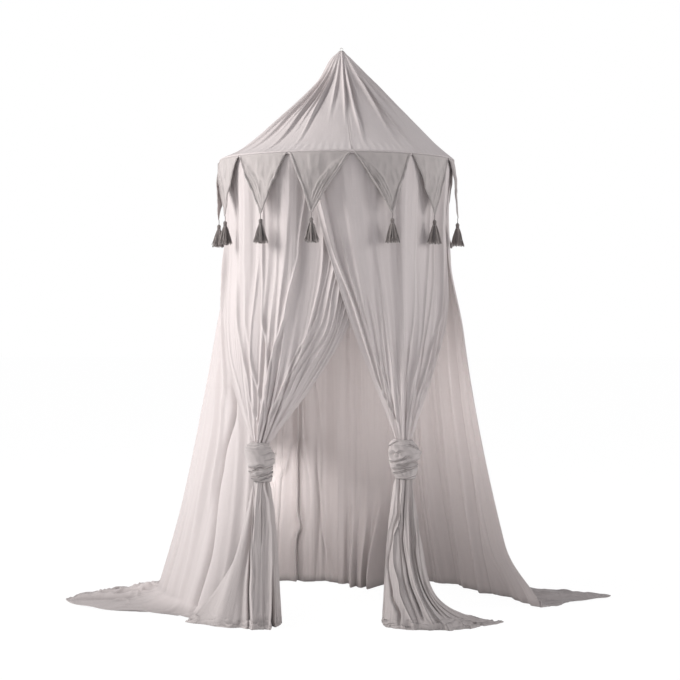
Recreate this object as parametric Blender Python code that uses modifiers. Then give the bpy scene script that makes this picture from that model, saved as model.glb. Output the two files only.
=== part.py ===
"""Hanging crib canopy: a cloth tent on a hoop, hung from one hook over a crib.

Metres, +Z up. The origin is the point of the hanging loop that rests on the hook.
The doorway faces -Y. A bearing is an angle about +Z, counted from -Y towards +X.
"""
import math

import bmesh
import bpy
from mathutils import Matrix, Vector

# Overall heights, counted down from the hook
TIP_DROP = 0.012              # to the cloth tip of the roof
HOOP_DROP = 0.444             # to the centre line of the hoop
FLOOR_DROP = 2.181            # to the floor that the hems lie on

# Hoop: four rods, joined end to end by ferrules, in a cloth casing
HOOP_RADIUS = 0.45
HOOP_SHIFT = -0.0176          # the hoop hangs this far along X from the hook
ROD_RADIUS = 0.004
ROD_COUNT = 4
FERRULE_WALL = 0.0012
FERRULE_LENGTH = 0.05
CASING_WALL = 0.001
CASING_SLOT = 0.03            # opening in the casing, where the rods are threaded in
HOOP_FACETS = 48

# Fits
SEAT_GAP = 0.0003
RUN_GAP = 0.0006
SEAM_GAP = 0.0011             # between two gores' middles, so that their inner faces stay clear

# Cloth
CLOTH = 0.0016                # gathered cloth, as thick as it lies
ROOF_CLOTH = 0.0016
SEAM_BEARING = 7.0            # first roof seam, a little to the right of the doorway
GORE_COUNT = 4

# Roof
TIP_RADIUS = 0.0058           # the tip stays open this wide for the hanging loop
ROOF_SAG_LEFT = 0.037
ROOF_SAG_RIGHT = 0.008
ROOF_SAG_SKEW = 1.4           # over 1, so that the cloth sags most below its middle
ROOF_SAG_EASE = 0.25          # share of the slope over which the sag sets in
ROOF_FOLD = 0.007             # height of the folds that run out from the tip
ROOF_FOLDS_PER_GORE = 3
TAPE_WIDTH = 0.012
TAPE_THICK = 0.0008
TAPE_GAP = 0.0009             # under the roof cloth, whose facets twist by part of this
TAPE_SHARE = 0.9              # most of a facet of the roof that half a tape covers, near the tip
TAPE_FIRST_ROW = 1            # row of the roof's cloth that the seam tapes start from
TAPE_STOP = 0.08              # part of a row that the tapes stop short of the hoop casing
ROOF_ROWS = 7

# Hanging loop, its toggle and the washer that the roof hangs from
LOOP_TAPE = 0.0012
LOOP_WIDTH = 0.008
LOOP_EYE = 0.010
LOOP_WAIST = 0.0016
TOGGLE_RADIUS = 0.0025
TOGGLE_LENGTH = 0.024
WASHER_RADIUS = 0.015
WASHER_THICK = 0.003
WASHER_BORE = 0.0052

# Pennants and tassels
PENNANT_COUNT = 12
PENNANT_DROP = 0.222
PENNANT_CLOTH = 0.0015
PENNANT_TIP = 0.007           # width of the blunt tip
PENNANT_FLARE = 0.013         # how far the tip stands out from the hoop line
NOTCH_GAP = 0.0008
TIP_SWAY = (0.022, -0.010, 0.010, 0.0, -0.012, 0.008,
            -0.006, 0.010, 0.004, 0.020, 0.010, -0.0275)
TASSEL_CORD = 0.0015
TASSEL_DROP = 0.087
TASSEL_NECK = 0.027
TASSEL_HEAD_RADIUS = 0.0065
TASSEL_SKIRT_RADIUS = 0.0225

# Front curtains, tied in knots that stand above their tails
LEFT_CURTAIN = (29.5, -75.2)  # bearings of the leading and the outer edge at the hoop
RIGHT_CURTAIN = (-15.5, 81.7)
KNOT_LEFT = (-0.6178 * HOOP_RADIUS, -0.9333 * HOOP_RADIUS)    # in plan, from the hoop's centre
KNOT_RIGHT = (0.5444 * HOOP_RADIUS, -0.9333 * HOOP_RADIUS)
KNOT_HEIGHT_LEFT = 0.631      # centre of the ball above the floor
KNOT_HEIGHT_RIGHT = 0.641
KNOT_BALL = 0.05              # radius of the ball of the knot
KNOT_WIDTH_LEFT = 0.106
KNOT_WIDTH_RIGHT = 0.117
KNOT_WRAP = 0.044             # radius of the wraps under the ball
KNOT_DROP = 0.1               # ball's centre down to the end of the wraps
BALL_TURNS = (0, 18, 34, 50, 66, 82, 98, 114, 126)
WRAP_COUNT = 3
WRAP_PROFILE = ((0.15, 0.92), (0.5, 1.0), (0.85, 0.92))
WRAP_STEP = 0.004             # the first wrap starts this far under the ball's edge
WRAP_SLANT = 0.16
WRAP_EASE = 0.012             # the slant fades out over this height at the lower end
THROAT = 0.027                # radius of the gathered cloth above and below a knot
THROAT_TURN = 130.0           # how far the gathered cloth runs round the throat each way
THROAT_FOLD = 0.0035
THROAT_GAP = 0.0009           # between a curtain's gathered end and the ball that tilts under it
CURTAIN_FOLD = 0.0065
CURTAIN_FOLDS = 6
LAYER_STEP = 0.0036           # between the layers sewn under the hoop
OVERLAP_GAP = 0.022           # between the crossed curtains
CROSS_HALF = 0.22             # the rear curtain steps back where it's nearer the middle than this
CROSS_EASE = 0.12
CROSS_DROP = 0.09             # drop below the hoop over which it steps back
FOLD_DROP = 0.3               # drop below the hoop where a curtain's folds are at full depth
WAIST = 0.024                 # the cloth stands in this far behind the tassels
WAIST_LEAST = 0.45            # share of the waist that is left midway between two tassels
WAIST_TOP = 0.2               # drops below the hoop where the waist is full, and fades
WAIST_END = 0.36
WAIST_FADE = 0.3
TAIL_FOLD = 0.011
TAIL_FOLDS = 4
TAIL_FALL = 0.5               # under 1, so that the doorway edge of a tail spreads near the knot

# Walls, whose hems spread over the floor
WALL_EDGES = (-180.5, -128.0, -75.5, 82.0, 134.5, 179.5)
WALL_FOLD = 0.018
LEFT_SLACK = (1.9, 6.0, 4.0)  # how late a wall spreads: its back, its front edge, and how soon
RIGHT_SLACK = (2.6, 1.85, 0.6)     # the back's way takes over from the edge's
EDGE_SWING = 33.5             # the left wall's front edge is drawn this far round, behind the knot
EDGE_SWING_SPAN = (0.24, 0.64)
EDGE_RETURN = 3.0             # and comes back this far on its way to the floor
EDGE_RETURN_SPAN = (0.66, 1.0)
WALL_FOLD_STEP = 15.0         # bearing from one fold to the next
TRAIN_FOLD = 0.024
FOOT_CURVE = 0.05
WALL_ROWS = 8
TRAIN_ROWS = 5

# Each pair is a bearing and a distance beyond the hoop: where the walls meet the floor, and
# their hems
FOOT_LEFT = ((-45.0, 0.045), (-59.0, 0.115), (-75.0, 0.17), (-90.0, 0.23), (-101.0, 0.275),
             (-114.0, 0.285), (-127.0, 0.25), (-140.0, 0.19), (-159.0, 0.095), (-180.5, 0.05))
FOOT_RIGHT = ((82.0, 0.256), (90.0, 0.25), (97.0, 0.21), (106.0, 0.185), (120.0, 0.175),
              (141.0, 0.18), (160.0, 0.11), (179.5, 0.05))
HEM_LEFT = ((-45.0, 0.06), (-59.0, 0.15), (-71.0, 0.22), (-77.0, 0.31), (-82.0, 0.45),
            (-88.0, 0.56), (-95.0, 0.635), (-106.0, 0.55), (-121.0, 0.435), (-137.0, 0.36),
            (-158.0, 0.27), (-180.5, 0.21))
HEM_RIGHT = ((82.0, 0.35), (88.0, 0.415), (93.0, 0.51), (98.0, 0.665), (105.0, 0.55),
             (113.0, 0.43), (124.0, 0.34), (141.0, 0.31), (160.0, 0.24), (179.5, 0.21))

# Plan places of the tails' hems from their knots, from the doorway side outwards
TAIL_LEFT = ((0.073, 0.04), (0.053, -0.035), (-0.002, -0.065), (-0.087, -0.045),
             (-0.182, 0.01), (-0.284, 0.068))
TAIL_RIGHT = ((-0.078, 0.055), (-0.06, -0.03), (0.017, -0.085), (0.115, -0.09),
              (0.205, -0.07), (0.285, -0.01), (0.376, 0.066))

CASING_RADIUS = (ROD_RADIUS + SEAT_GAP + FERRULE_WALL + SEAT_GAP + CASING_WALL)
HOOP_Z = -HOOP_DROP
FLOOR_Z = -FLOOR_DROP
TIP_Z = -TIP_DROP
FACET = 360.0 / HOOP_FACETS
PENNANT_RADIUS = HOOP_RADIUS + CASING_RADIUS + SEAT_GAP + PENNANT_CLOTH / 2


def clear_scene():
    for thing in list(bpy.data.objects):
        bpy.data.objects.remove(thing, do_unlink=True)


def finish(name, colour, roughness, metallic=0.0):
    material = bpy.data.materials.new(name)
    material.use_nodes = True
    shader = material.node_tree.nodes["Principled BSDF"]
    shader.inputs["Base Color"].default_value = (*colour, 1.0)
    shader.inputs["Roughness"].default_value = roughness
    shader.inputs["Metallic"].default_value = metallic
    material.diffuse_color = (*colour, 1.0)
    return material


def blend(low, high, share):
    return low + (high - low) * share


def smooth(share):
    share = min(max(share, 0.0), 1.0)
    return share * share * (3.0 - 2.0 * share)


def around(radius, bearing, z):
    """A point at a distance from the hoop's axis, on a bearing."""
    angle = math.radians(bearing)
    return Vector((HOOP_SHIFT + radius * math.sin(angle), -radius * math.cos(angle), z))


def along(outline, share):
    """A smooth curve through an outline's points, which share 0 to 1 runs along."""
    spans = len(outline) - 1
    place = min(max(share, 0.0), 1.0) * spans
    first = min(int(place), spans - 1)
    step = place - first
    points = [Vector(outline[min(max(first + k, 0), spans)]) for k in (-1, 0, 1, 2)]
    slope_in = (points[2] - points[0]) / 2
    slope_out = (points[3] - points[1]) / 2
    square, cube = step * step, step ** 3
    return (points[1] * (2 * cube - 3 * square + 1) + slope_in * (cube - 2 * square + step)
            + points[2] * (3 * square - 2 * cube) + slope_out * (cube - square))


def reach_at(table, bearing):
    """The distance that a table of (bearing, distance) gives, on a smooth curve through it."""
    last = len(table) - 1
    first = min(sum(abs(bearing) > abs(pair[0]) for pair in table[1:]), last - 1)
    pairs = [table[min(max(first + k, 0), last)] for k in (-1, 0, 1, 2)]
    slopes = [(high[1] - low[1]) / (high[0] - low[0]) for low, high in (pairs[0::2], pairs[1::2])]
    span = pairs[2][0] - pairs[1][0]
    step = (bearing - pairs[1][0]) / span
    square, cube = step * step, step ** 3
    return (pairs[1][1] * (2 * cube - 3 * square + 1) + pairs[2][1] * (3 * square - 2 * cube)
            + span * (slopes[0] * (cube - 2 * square + step) + slopes[1] * (cube - square)))


def add_object(name, mesh, material, parent, place=(0, 0, 0), turn=0.0):
    thing = bpy.data.objects.new(name, mesh)
    if not mesh.materials:
        mesh.materials.append(material)
    parts.objects.link(thing)
    thing.parent = parent
    thing.location = place
    thing.rotation_euler.z = turn
    return thing


def mesh_of(name, shape, shaded_smooth=True):
    mesh = bpy.data.meshes.new(name)
    shape.to_mesh(mesh)
    shape.free()
    if shaded_smooth:
        mesh.shade_smooth()
    return mesh


def thicken(thing, thickness, offset=0.0):
    wall = thing.modifiers.new("wall", "SOLIDIFY")
    wall.thickness = thickness
    wall.offset = offset
    wall.use_even_offset = True
    return wall


def add_sheet(name, columns, rows, place, thickness, material, parent, origin=None, turn=0.0):
    """A grid of cloth whose corners place(u, v) puts in space, then thickened."""
    shape = bmesh.new()
    bmesh.ops.create_grid(shape, x_segments=columns, y_segments=rows, size=0.5)
    for vert in shape.verts:
        vert.co = place(vert.co.x + 0.5, vert.co.y + 0.5)
    sheet = add_object(name, mesh_of(name, shape), material, parent, origin or (0, 0, 0), turn)
    thicken(sheet, thickness)
    return sheet


def add_tube(name, points, radius, material, parent, capped=True):
    """A round rod along a list of points, or an open tube skin where it isn't capped."""
    curve = bpy.data.curves.new(name, "CURVE")
    curve.dimensions = "3D"
    curve.bevel_depth = radius
    curve.bevel_resolution = 2
    curve.use_fill_caps = capped
    line = curve.splines.new("POLY")
    line.points.add(len(points) - 1)
    for corner, point in zip(line.points, points):
        corner.co = (*point, 1.0)
    curve.materials.append(material)
    tube = bpy.data.objects.new(name, curve)
    parts.objects.link(tube)
    tube.parent = parent
    return tube


def lathed(profile, steps, closed=False):
    """A shape turned about Z from a profile of (radius, height) pairs."""
    shape = bmesh.new()
    verts = [shape.verts.new((radius, 0.0, height)) for radius, height in profile]
    pairs = list(zip(verts, verts[1:])) + ([(verts[-1], verts[0])] if closed else [])
    edges = [shape.edges.new(pair) for pair in pairs]
    bmesh.ops.spin(shape, geom=verts + edges, cent=(0, 0, 0), axis=(0, 0, 1),
                   angle=math.tau, steps=steps, use_merge=True)
    bmesh.ops.remove_doubles(shape, verts=shape.verts[:], dist=0.00001)
    bmesh.ops.recalc_face_normals(shape, faces=shape.faces[:])
    return shape


def hoop_arc(start, end, radius):
    """Points from one bearing to another, with a corner at each facet of the hoop."""
    first = math.floor((start - SEAM_BEARING) / FACET) + 1
    corners = [SEAM_BEARING + FACET * k for k in range(first, first + HOOP_FACETS + 1)]
    inner = [corner for corner in corners if start + FACET / 50 < corner < end - FACET / 50]
    ends = [facet_point(start, radius), facet_point(end, radius)]
    return [ends[0]] + [around(radius, corner, HOOP_Z) for corner in inner] + [ends[1]]


def facet_point(bearing, radius):
    """The point of the faceted hoop line on a bearing."""
    low = SEAM_BEARING + FACET * math.floor((bearing - SEAM_BEARING) / FACET)
    share = (bearing - low) / FACET
    return around(radius, low, HOOP_Z).lerp(around(radius, low + FACET, HOOP_Z), share)


def bearing_of(length, radius=HOOP_RADIUS):
    return math.degrees(length / radius)


# Hanging loop, toggle and washer

def add_hanging_loop(parent):
    """A tape round the hook above and round a toggle below, drawn in between."""
    turns = 8
    eye = LOOP_EYE / 2 + LOOP_TAPE / 2
    low_eye = TOGGLE_RADIUS + SEAT_GAP + LOOP_TAPE / 2
    waist = (LOOP_WAIST + LOOP_TAPE) / 2
    toggle_z = washer_z() - WASHER_THICK - SEAT_GAP - TOGGLE_RADIUS
    half = [(eye * math.sin(math.pi / 2 * k / turns),
             LOOP_TAPE / 2 - eye + eye * math.cos(math.pi / 2 * k / turns)) for k in range(turns + 1)]
    half += [(waist, TIP_Z), (waist, toggle_z + 2 * low_eye)]
    half += [(low_eye * math.cos(turn), toggle_z + low_eye * math.sin(turn))
             for turn in (0.4, 0.0, -0.5, -1.0)]
    half += [(0.0, toggle_z - low_eye)]
    path = half + [(-x, z) for x, z in reversed(half[1:-1])]
    shape = bmesh.new()
    verts = [shape.verts.new((x, -LOOP_WIDTH / 2, z)) for x, z in path]
    edges = [shape.edges.new(pair) for pair in zip(verts, verts[1:] + verts[:1])]
    ribbon = bmesh.ops.extrude_edge_only(shape, edges=edges)
    moved = [part for part in ribbon["geom"] if isinstance(part, bmesh.types.BMVert)]
    bmesh.ops.translate(shape, vec=(0, LOOP_WIDTH, 0), verts=moved)
    bmesh.ops.recalc_face_normals(shape, faces=shape.faces[:])
    loop = add_object("hanging_loop", mesh_of("hanging_loop", shape), tape_finish, parent)
    thicken(loop, LOOP_TAPE)


def washer_z():
    """Height of the washer's upper face, where its rim seats under the roof cloth."""
    slope = math.atan2(HOOP_DROP - TIP_DROP, HOOP_RADIUS)
    reach = (ROOF_CLOTH / 2 + RUN_GAP) / math.cos(slope)
    return TIP_Z - (WASHER_RADIUS - TIP_RADIUS) * math.tan(slope) - reach


def add_washer_and_toggle(parent):
    top = washer_z()
    ring = [(WASHER_BORE, top), (WASHER_RADIUS, top),
            (WASHER_RADIUS, top - WASHER_THICK), (WASHER_BORE, top - WASHER_THICK)]
    washer = mesh_of("apex_washer", lathed(ring, 24, closed=True), False)
    add_object("apex_washer", washer, wood_finish, parent)
    shape = bmesh.new()
    bmesh.ops.create_cone(shape, cap_ends=True, segments=12, radius1=TOGGLE_RADIUS,
                          radius2=TOGGLE_RADIUS, depth=TOGGLE_LENGTH,
                          matrix=Matrix.Rotation(math.pi / 2, 4, "X"))
    toggle = add_object("apex_toggle", mesh_of("apex_toggle", shape), wood_finish, parent)
    toggle.location.z = top - WASHER_THICK - SEAT_GAP - TOGGLE_RADIUS


# Hoop

def add_hoop(parent):
    joint_bearings = [SEAM_BEARING + 45.0 + 90.0 * k for k in range(ROD_COUNT)]
    end_gap = bearing_of(SEAT_GAP)
    for number, start in enumerate(joint_bearings, 1):
        arc = hoop_arc(start + end_gap, start + 90.0 - end_gap, HOOP_RADIUS)
        add_tube(f"hoop_rod_{number}", arc, ROD_RADIUS, rod_finish, parent)
    half = bearing_of(FERRULE_LENGTH / 2)
    outer = ROD_RADIUS + SEAT_GAP + FERRULE_WALL
    for number, start in enumerate(joint_bearings, 1):
        arc = hoop_arc(start - half, start + half, HOOP_RADIUS)
        ferrule = add_tube(f"hoop_ferrule_{number}", arc, outer, metal_finish, parent, capped=False)
        thicken(ferrule, FERRULE_WALL, -1.0)
    slot = bearing_of(CASING_SLOT / 2)
    back = SEAM_BEARING + 172.5
    arc = hoop_arc(back + slot, back + 360.0 - slot, HOOP_RADIUS)
    casing = add_tube("hoop_casing", arc, CASING_RADIUS, cloth_finish, parent, capped=False)
    thicken(casing, CASING_WALL, -1.0)


# Roof

ROOF_SLOPE = math.atan2(HOOP_DROP - TIP_DROP, HOOP_RADIUS)
ROOF_REACH = CASING_RADIUS + RUN_GAP + ROOF_CLOTH / 2


def roof_point(bearing, share, lift=0.0):
    """A point of the roof cloth, from the tip (0) to the hoop (1), lifted off it by lift."""
    edge_radius = HOOP_RADIUS + ROOF_REACH * math.sin(ROOF_SLOPE)
    edge_z = HOOP_Z + ROOF_REACH * math.cos(ROOF_SLOPE)
    radius = blend(TIP_RADIUS, edge_radius, share)
    height = blend(TIP_Z, edge_z, share)
    leftness = (1.0 - math.sin(math.radians(bearing))) / 2
    hang = 1.0 - abs(2.0 * share ** ROOF_SAG_SKEW - 1.0) ** 3
    sag = blend(ROOF_SAG_RIGHT, ROOF_SAG_LEFT, leftness) * hang * smooth(share / ROOF_SAG_EASE)
    fold_turn = math.radians((bearing - SEAM_BEARING) * 360.0 / 90.0 * ROOF_FOLDS_PER_GORE)
    fold = ROOF_FOLD * smooth(share / 0.35) * smooth((1.0 - share) / 0.6) * math.cos(fold_turn)
    off = lift + fold - sag
    radius += off * math.sin(ROOF_SLOPE)
    height += off * math.cos(ROOF_SLOPE)
    angle = math.radians(bearing)
    return Vector((HOOP_SHIFT * share + radius * math.sin(angle), -radius * math.cos(angle), height))


def roof_share(row):
    """Share of the slope that a row of the roof's cloth lies at; the rows close up to the tip."""
    return (row / ROOF_ROWS) ** 1.35


def roof_row_point(bearing, row, lift):
    """A point between two rows of the roof's cloth, on the straight line that joins them."""
    low = min(int(row), ROOF_ROWS - 1)
    above = roof_point(bearing, roof_share(low), lift)
    return above.lerp(roof_point(bearing, roof_share(low + 1), lift), row - low)


def add_roof(parent):
    names = ("right", "back", "left", "front")
    turn = 360.0 / GORE_COUNT
    for number, side in enumerate(names[:GORE_COUNT]):
        start = SEAM_BEARING + turn * number

        def place(u, v, start=start):
            share = roof_share(v * ROOF_ROWS)
            inset = bearing_of(SEAM_GAP / 2, blend(TIP_RADIUS, HOOP_RADIUS, share))
            return roof_point(blend(start + inset, start + turn - inset, u), share)

        add_sheet(f"roof_gore_{side}", 12, ROOF_ROWS, place, ROOF_CLOTH, roof_finish, parent)
    lift = -(ROOF_CLOTH / 2 + TAPE_GAP + TAPE_THICK / 2)
    for number, side in enumerate(names[:GORE_COUNT]):
        seam = SEAM_BEARING + turn * number

        def strip(u, v, seam=seam):
            row = min(TAPE_FIRST_ROW + round(v * (ROOF_ROWS - TAPE_FIRST_ROW)), ROOF_ROWS - TAPE_STOP)
            middle = roof_row_point(seam, row, lift)
            if abs(u - 0.5) < 0.1:
                return middle
            beside = roof_row_point(seam + math.copysign(FACET, u - 0.5), row, lift)
            return middle.lerp(beside, min(TAPE_WIDTH / 2 / (beside - middle).length, TAPE_SHARE))

        add_sheet(f"seam_tape_{side}", 2, ROOF_ROWS - TAPE_FIRST_ROW, strip, TAPE_THICK,
                  tape_finish, parent)


# Pennants and tassels

def add_pennants(parent):
    turn = 360.0 / PENNANT_COUNT
    half_width = HOOP_RADIUS * math.radians(turn) / 2 - NOTCH_GAP
    hang = TASSEL_CORD + SEAT_GAP
    tassel_mesh = mesh_of("tassel", lathed(tassel_profile(), 8))
    for number in range(PENNANT_COUNT):
        bearing = SEAM_BEARING + turn * (number + 0.5)
        sway = TIP_SWAY[number % len(TIP_SWAY)]

        def place(u, v, sway=sway):
            side = (2.0 * u - 1.0)
            across = math.radians(turn) / 2 * side * (half_width / (half_width + NOTCH_GAP))
            width = blend(1.0, PENNANT_TIP / 2 / half_width, v)
            angle = across * width
            return Vector((PENNANT_RADIUS * math.sin(angle) + sway * v,
                           PENNANT_RADIUS * (1.0 - math.cos(angle)) - PENNANT_FLARE * v,
                           -PENNANT_DROP * v))

        hinge = around(PENNANT_RADIUS, bearing, HOOP_Z)
        pennant = add_sheet(f"pennant_{number + 1:02d}", 4, 4, place, PENNANT_CLOTH,
                            pennant_finish, parent, hinge, math.radians(bearing))
        knot = (sway, -PENNANT_FLARE, -PENNANT_DROP - hang)
        add_object(f"tassel_{number + 1:02d}", tassel_mesh, tassel_finish, pennant, knot)


def tassel_profile():
    """From the top of the cord, over the bound head, down the skirt to its middle."""
    cord, head = TASSEL_CORD, TASSEL_HEAD_RADIUS
    neck = TASSEL_NECK
    return [(0.0, cord), (cord, 0.0), (cord, -neck * 0.3), (head, -neck * 0.5), (head, -neck * 0.85),
            (head * 0.75, -neck), (head * 1.5, -neck * 1.4),
            (TASSEL_SKIRT_RADIUS, -TASSEL_DROP), (0.0, -TASSEL_DROP)]


# Front curtains, knots and tails

def seat_under_casing(layer):
    """Height of a top edge sewn under the casing, off the hoop line by layer."""
    return HOOP_Z - math.sqrt(CASING_RADIUS ** 2 - layer ** 2) - SEAT_GAP


def waist(drop, bearing):
    """How far the cloth stands in at a drop below the hoop, to leave the tassels room."""
    turn = math.radians((bearing - SEAM_BEARING) * PENNANT_COUNT)
    behind = smooth((0.9 - math.cos(turn)) / 0.9)
    depth = WAIST * blend(WAIST_LEAST, 1.0, behind)
    return depth * smooth(drop / WAIST_TOP) * (1.0 - smooth((drop - WAIST_END) / WAIST_FADE))


def throat_offset(u, side):
    """Place of the gathered cloth round a throat: leading edge, front, outer edge."""
    angle = math.radians(blend(-THROAT_TURN, THROAT_TURN, u))
    return Vector((side * THROAT * math.sin(angle), -THROAT * math.cos(angle)))


def ball_height(offset, half_width):
    """Height of the knot's ball over its centre, at a plan offset."""
    inside = 1.0 - (offset.x / half_width) ** 2 - (offset.y / KNOT_BALL) ** 2
    return KNOT_BALL * math.sqrt(inside)


def curtain_place(side, edges, knot, knot_z, half_width, slacks, billow, layer, behind):
    """place(u, v) of a front curtain, from the casing down to its knot."""
    top_z = seat_under_casing(layer)

    def place(u, v):
        bearing_at = blend(edges[0], edges[1], u)
        bearing = math.radians(bearing_at)
        throat = throat_offset(u, side)
        wave = math.cos(math.tau * CURTAIN_FOLDS * u)
        nearest = throat * (1.0 + (THROAT_FOLD * wave - CLOTH / 2) / THROAT)
        end_z = knot_z + ball_height(nearest, half_width) + THROAT_GAP
        z = blend(top_z, end_z, v)
        drop = top_z - z
        reach = HOOP_RADIUS + layer - waist(drop, bearing_at)
        reach += billow * u ** 3 * math.sin(math.pi * min(max(v - 0.25, 0.0) / 0.55, 1.0))
        pull = v ** blend(slacks[0], slacks[1], u ** 1.5)
        x = blend(reach * math.sin(bearing), knot[0] + throat.x, pull)
        edge = reach * math.cos(bearing)
        cylinder = -math.sqrt(max(reach ** 2 - x ** 2, edge ** 2 * (1.0 - pull)))
        y = blend(cylinder, knot[1] + throat.y, smooth((v - 0.3) / 0.7) ** 1.3)
        inner = smooth((CROSS_HALF - side * x) / CROSS_EASE) if behind else 0.0
        gone = 1.0 - smooth((v - 0.6) / 0.3)
        y += OVERLAP_GAP * inner * smooth(drop / CROSS_DROP) * gone
        out = Vector((x, y)).normalized().lerp(throat.normalized(), v ** 3)
        size = CURTAIN_FOLD * smooth(0.2 + drop / FOLD_DROP)
        size = blend(size, THROAT_FOLD, smooth((v - 0.7) / 0.3))
        x, y = x + out.x * size * wave, y + out.y * size * wave
        return Vector((x + HOOP_SHIFT, y, z))

    return place


def knot_shape(half_width):
    """Ball of wrapped cloth over three slanting wraps, about the ball's centre."""
    ball = [(KNOT_BALL * math.sin(math.radians(turn)), KNOT_BALL * math.cos(math.radians(turn)))
            for turn in BALL_TURNS]
    start = ball[-1][1] - WRAP_STEP
    wraps = []
    for number in range(WRAP_COUNT):
        for share, swell in WRAP_PROFILE:
            height = blend(start, -KNOT_DROP, (number + share) / WRAP_COUNT)
            wraps.append((KNOT_WRAP * swell, height))
    flat = THROAT + CLOTH + CURTAIN_FOLD
    shape = lathed(ball + wraps + [(flat, -KNOT_DROP), (0.0, -KNOT_DROP)], 16)
    bmesh.ops.scale(shape, vec=(half_width / KNOT_BALL, 1.0, 1.0), verts=shape.verts[:])
    for vert in shape.verts:
        slant = smooth((-vert.co.z - 0.2 * KNOT_BALL) / KNOT_BALL)
        slant *= smooth((KNOT_DROP + vert.co.z) / WRAP_EASE)
        vert.co.z += WRAP_SLANT * vert.co.x * slant
    return shape


def tail_place(side, hem, knot_z, spread):
    """place(u, v) of a tail, about its knot's centre, from the wraps to the floor."""
    top_z = -KNOT_DROP - SEAT_GAP
    hem_z = FLOOR_Z + CLOTH / 2 - knot_z

    def place(u, v):
        drop = 1.0 - (1.0 - v) ** 1.5
        throat = throat_offset(u, side)
        foot = along(hem, u)
        x = blend(throat.x, foot.x, drop ** blend(TAIL_FALL, spread, u ** 2))
        y = blend(throat.y, foot.y, drop ** 1.3)
        z = blend(top_z, hem_z, min(drop / 0.985, 1.0))
        out = throat.normalized().lerp(Vector((0.45 * side * (2 * u - 1), -1.0)).normalized(), drop)
        size = blend(THROAT_FOLD, TAIL_FOLD, smooth(drop / 0.5))
        fold = size * math.cos(math.tau * TAIL_FOLDS * u)
        return Vector((x + out.x * fold, y + out.y * fold, z))

    return place


def add_front(parent):
    sides = (("left", -1, LEFT_CURTAIN, KNOT_LEFT, KNOT_HEIGHT_LEFT, KNOT_WIDTH_LEFT,
              (1.9, 4.2), 0.0, 0.0, True, TAIL_LEFT, 2.1),
             ("right", 1, RIGHT_CURTAIN, KNOT_RIGHT, KNOT_HEIGHT_RIGHT, KNOT_WIDTH_RIGHT,
              (1.3, 2.4), 0.02, LAYER_STEP, False, TAIL_RIGHT, 6.5))
    for name, side, edges, knot, height, width, slacks, billow, layer, behind, hem, spread in sides:
        knot_z = FLOOR_Z + height
        place = curtain_place(side, edges, knot, knot_z, width / 2, slacks, billow, layer, behind)
        add_sheet(f"curtain_{name}", 24, 9, place, CLOTH, cloth_finish, parent)
        middle = (knot[0] + HOOP_SHIFT, knot[1], knot_z)
        ball = mesh_of(f"knot_{name}", knot_shape(width / 2))
        ball_object = add_object(f"knot_{name}", ball, cloth_finish, parent, middle)
        add_sheet(f"tail_{name}", 16, 8, tail_place(side, hem, knot_z, spread), CLOTH,
                  cloth_finish, ball_object)


# Walls

def edge_swing(down):
    """How far round a wall's front edge is drawn, at a share of the way down."""
    forward = smooth((down - EDGE_SWING_SPAN[0]) / (EDGE_SWING_SPAN[1] - EDGE_SWING_SPAN[0]))
    back = smooth((down - EDGE_RETURN_SPAN[0]) / (EDGE_RETURN_SPAN[1] - EDGE_RETURN_SPAN[0]))
    return EDGE_SWING * forward - EDGE_RETURN * back


def wall_place(start, end, edge, foot_table, hem_table, slacks, swings, turn_gap):
    """place(u, v) of a wall from the casing down to the floor and out along it to the hem."""
    layer = -LAYER_STEP
    top_z = seat_under_casing(layer)
    rows = WALL_ROWS + TRAIN_ROWS
    bend = WALL_ROWS / rows
    bed_z = FLOOR_Z + CLOTH / 2

    def place(u, v):
        base = blend(start + turn_gap, end - turn_gap, u)
        front = max(1.0 - abs(base - edge) / abs(end - start), 0.0)
        drawn = front ** 2 if swings else 0.0
        on_floor = base + drawn * edge_swing(1.0)
        foot = HOOP_RADIUS + reach_at(foot_table, on_floor)
        fold = math.cos(math.tau * (base - SEAM_BEARING) / WALL_FOLD_STEP)
        if v <= bend:
            down = (v / bend) ** 1.5
            z = blend(top_z, bed_z + FOOT_CURVE, down)
            spread = down ** blend(slacks[0], slacks[1], front ** slacks[2])
            radius = blend(HOOP_RADIUS + layer, foot, spread) - waist(top_z - z, base)
            radius += WALL_FOLD * smooth(down) * fold
            return around(radius, base + drawn * edge_swing(down), z)
        out = (v - bend) / (1.0 - bend)
        hem = HOOP_RADIUS + reach_at(hem_table, on_floor)
        reach = blend(foot + WALL_FOLD * fold * (1.0 - out), hem, out)
        ridge = TRAIN_FOLD * max(fold - 0.1, 0.0) * (1.0 - out) ** 0.5 * smooth(out / 0.2)
        z = bed_z + FOOT_CURVE * max(1.0 - out / 0.45, 0.0) ** 2 + ridge
        return around(reach, on_floor, z)

    return place


def add_walls(parent):
    names = ("wall_back_left", "wall_left", None, "wall_right", "wall_back_right")
    gap = bearing_of(SEAM_GAP / 2)
    for name, start, end in zip(names, WALL_EDGES, WALL_EDGES[1:]):
        if name is None:
            continue
        if start < 0:
            place = wall_place(start, end, WALL_EDGES[2], FOOT_LEFT, HEM_LEFT, LEFT_SLACK, True, gap)
        else:
            place = wall_place(start, end, WALL_EDGES[3], FOOT_RIGHT, HEM_RIGHT, RIGHT_SLACK,
                               False, gap)
        add_sheet(name, 14, WALL_ROWS + TRAIN_ROWS, place, CLOTH, cloth_finish, parent)


clear_scene()
parts = bpy.data.collections.new("crib_canopy")
bpy.context.scene.collection.children.link(parts)

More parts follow.
